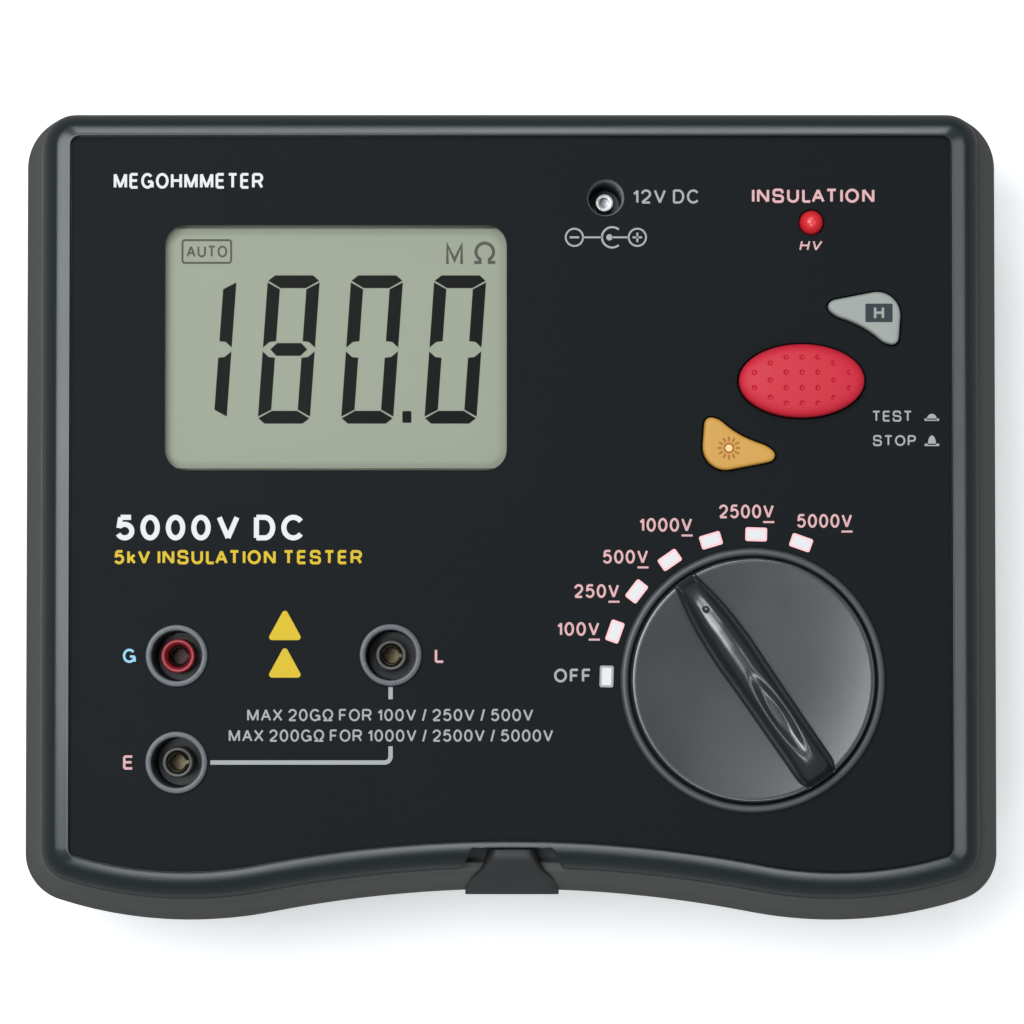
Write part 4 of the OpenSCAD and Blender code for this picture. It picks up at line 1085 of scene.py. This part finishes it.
label("grey", "12V DC", (39.4, 81.3), 3.6, 17.0)
label("pink", "INSULATION", (76.8, 81.5), 3.6, 31.3, weight=0.18)
label("pink", "HV", (76.2, 68.8), 2.6, 5.6, weight=0.17, slant=0.22)
label("grey", "TEST", (96.7, 25.4), 2.75, 10.2, weight=0.16)
label("grey", "STOP", (97.3, 19.2), 2.75, 11.0, weight=0.16)
label("blue", "G", (-96.7, -35.4), 3.6, 3.4, weight=0.17)
label("pink", "E", (-96.9, -62.4), 3.6, 2.8, weight=0.17)
label("pink", "L", (-18.1, -35.4), 3.6, 2.6, weight=0.17)
label("grey", "MAX 20G\u03a9 FOR 100V / 250V / 500V", (-30.6, -50.4), 3.1, 72.5)
label("grey", "MAX 200G\u03a9 FOR 1000V / 2500V / 5000V", (-30.4, -55.6), 3.1, 82.2)
label("yellow", "5kV INSULATION TESTER", (-69.2, -10.4), 3.6, 63.0, weight=0.19)
label("white", "5000V DC", (-76.3, -2.9), 6.5, 48.3, weight=0.2)
label("white", "MEGOHMMETER", (-82.0, 85.3), 4.0, 38.0, weight=0.17)

# Polarity sign at the charging inlet
SIGN_Y = 70.9
MINUS_X = 16.1
PLUS_X = 32.1
ARC_X = 25.7
for x in (MINUS_X, PLUS_X):
    stroke("grey", circle((x, SIGN_Y), 2.2, 32), 0.45, closed=True)
    stroke("grey", [(x - 1.2, SIGN_Y), (x + 1.2, SIGN_Y)], 0.5)
stroke("grey", [(PLUS_X, SIGN_Y - 1.2), (PLUS_X, SIGN_Y + 1.2)], 0.5)
stroke("grey", arc_points(ARC_X, SIGN_Y, 2.6, 50, 310, 28), 0.5)
slab(ink("grey"), circle((25.0, SIGN_Y), 0.8, 20), PRINT_LOW, PRINT_HIGH)
stroke("grey", [(MINUS_X + 2.3, SIGN_Y), (ARC_X - 2.6, SIGN_Y)], 0.45)
stroke("grey", [(25.6, SIGN_Y), (PLUS_X - 2.3, SIGN_Y)], 0.45)

# Key icons: a low dome for pressed and a hump for released, each on its base line
for y, rise, run in ((24.5, 1.5, 1.3), (18.1, 2.4, 1.05)):
    dome = arc_points(0, 0, 1, 0, 180, 14)
    slab(ink("grey"), [(106.8 + run * x, y + rise * z) for x, z in dome], PRINT_LOW, PRINT_HIGH)
    stroke("grey", [(104.95, y), (108.65, y)], 0.6)

# Line from the line socket down to the earth socket
stroke("grey", [(-30.5, -43.3), (-30.5, -46.4)], 1.1)
corner = arc_points(-32.0, -60.9, 1.5, 0, -90, 8)
stroke("grey", [(-30.5, -58.3)] + corner + [(-76.1, -62.4)], 1.1)

# Plain yellow triangles
TRIANGLE_X = -57.3
TRIANGLE_REACH = (3.75, 3.95)
TRIANGLE_ROUND = 0.75
for middle in (-28.7, -38.2):
    points = []
    for way in (90, 210, 330):
        x = TRIANGLE_X + TRIANGLE_REACH[0] * math.cos(math.radians(way))
        y = middle + TRIANGLE_REACH[1] * math.sin(math.radians(way))
        points += arc_points(x, y, TRIANGLE_ROUND, way - 60, way + 60, 5)
    slab(ink("yellow"), points, PRINT_LOW, PRINT_HIGH)

for name, shape in printed.items():
    shape.piece("legends_" + name, "case", "panel_film", INK[name], weighted=False)


# CAD nodes that stay: their slot's material, and edges that catch the light. The charging inlet's barrel and
# pin look paler than their slots.

slot_of = {part["node"]: part["material_slot"] for part in frame["record"]["subparts"]}
slot_of.update(dc_jack_pin="steel", dc_jack_body="socket_plastic")
WELD_M = 1e-6
EDGE_DEG = 40
EDGE_MM = {"rubber_feet": 0.8, "battery_cover": 0.5, "lcd_window": 0.25,
           "line_socket_body": 0.35, "earth_socket_body": 0.35, "guard_socket_body": 0.35,
           "dc_jack_body": 0.25, "dc_jack_pin": 0.3, "case_screws": 0.2, "battery_cover_screws": 0.2,
           "batteries": 0.3, "hv_transformer": 0.3, "hv_capacitors": 0.3, "hv_relays": 0.3}
for node, made in frame["nodes"].items():
    made.data.materials.clear()
    made.data.materials.append(SLOTS[slot_of[node]])
    made.modifiers.new("weld", "WELD").merge_threshold = WELD_M
    if node in EDGE_MM:
        edge = made.modifiers.new("edge", "BEVEL")
        edge.width = EDGE_MM[node] * MM
        edge.segments = 3
        edge.limit_method = "ANGLE"
        edge.angle_limit = math.radians(EDGE_DEG)
        edge.harden_normals = False
    made.data.shade_smooth()
    made.modifiers.new("weighted_normal", "WEIGHTED_NORMAL").keep_sharp = True


# Floor and lights, in metres. The floor is left out of reflections, where it would wash out the rim.

FLOOR_HALF = 6.0
LIGHT_AIM = (0, 0, 0.07)
COOL_WHITE = (0.96, 0.985, 1.0)
WORLD_STRENGTH = 0.2
floor_mesh = bpy.data.meshes.new("floor")
floor_corners = [(x * FLOOR_HALF, y * FLOOR_HALF, 0) for x, y in ((-1, -1), (1, -1), (1, 1), (-1, 1))]
floor_mesh.from_pydata(floor_corners, [], [(0, 1, 2, 3)])
floor = bpy.data.objects.new("floor", floor_mesh)
scene.collection.objects.link(floor)
FLOOR_PAINT = material("floor_paint", (248, 249, 250), 0.9, grain=4.0, depth=0.01, mottle=0.01,
                       specular=0.1, glow=0.25)
floor_mesh.materials.append(FLOOR_PAINT)
floor.visible_glossy = False


def area_light(name, at, size, power):
    """A rectangle of light aimed at the tester: size is across and along its tilt."""
    data = bpy.data.lights.new(name, "AREA")
    data.shape = "RECTANGLE"
    data.size = size[0]
    data.size_y = size[1]
    data.energy = power
    data.color = COOL_WHITE
    made = bpy.data.objects.new(name, data)
    scene.collection.objects.link(made)
    made.location = at
    made.rotation_euler = (Vector(LIGHT_AIM) - Vector(at)).to_track_quat("-Z", "Y").to_euler()


area_light("key", (-0.49, 0.19, 1.46), (0.75, 0.9), 17.0)
area_light("right", (0.78, 0.0, 1.42), (0.9, 0.26), 3.4)
area_light("rear", (0.0, 0.97, 1.42), (0.9, 0.3), 7.0)
area_light("front", (0.0, -0.72, 1.42), (0.9, 0.3), 6.0)

world = bpy.data.worlds.new("studio")
world.use_nodes = True
world.node_tree.nodes["Background"].inputs["Color"].default_value = (1.0, 1.0, 1.0, 1.0)
world.node_tree.nodes["Background"].inputs["Strength"].default_value = WORLD_STRENGTH
scene.world = world
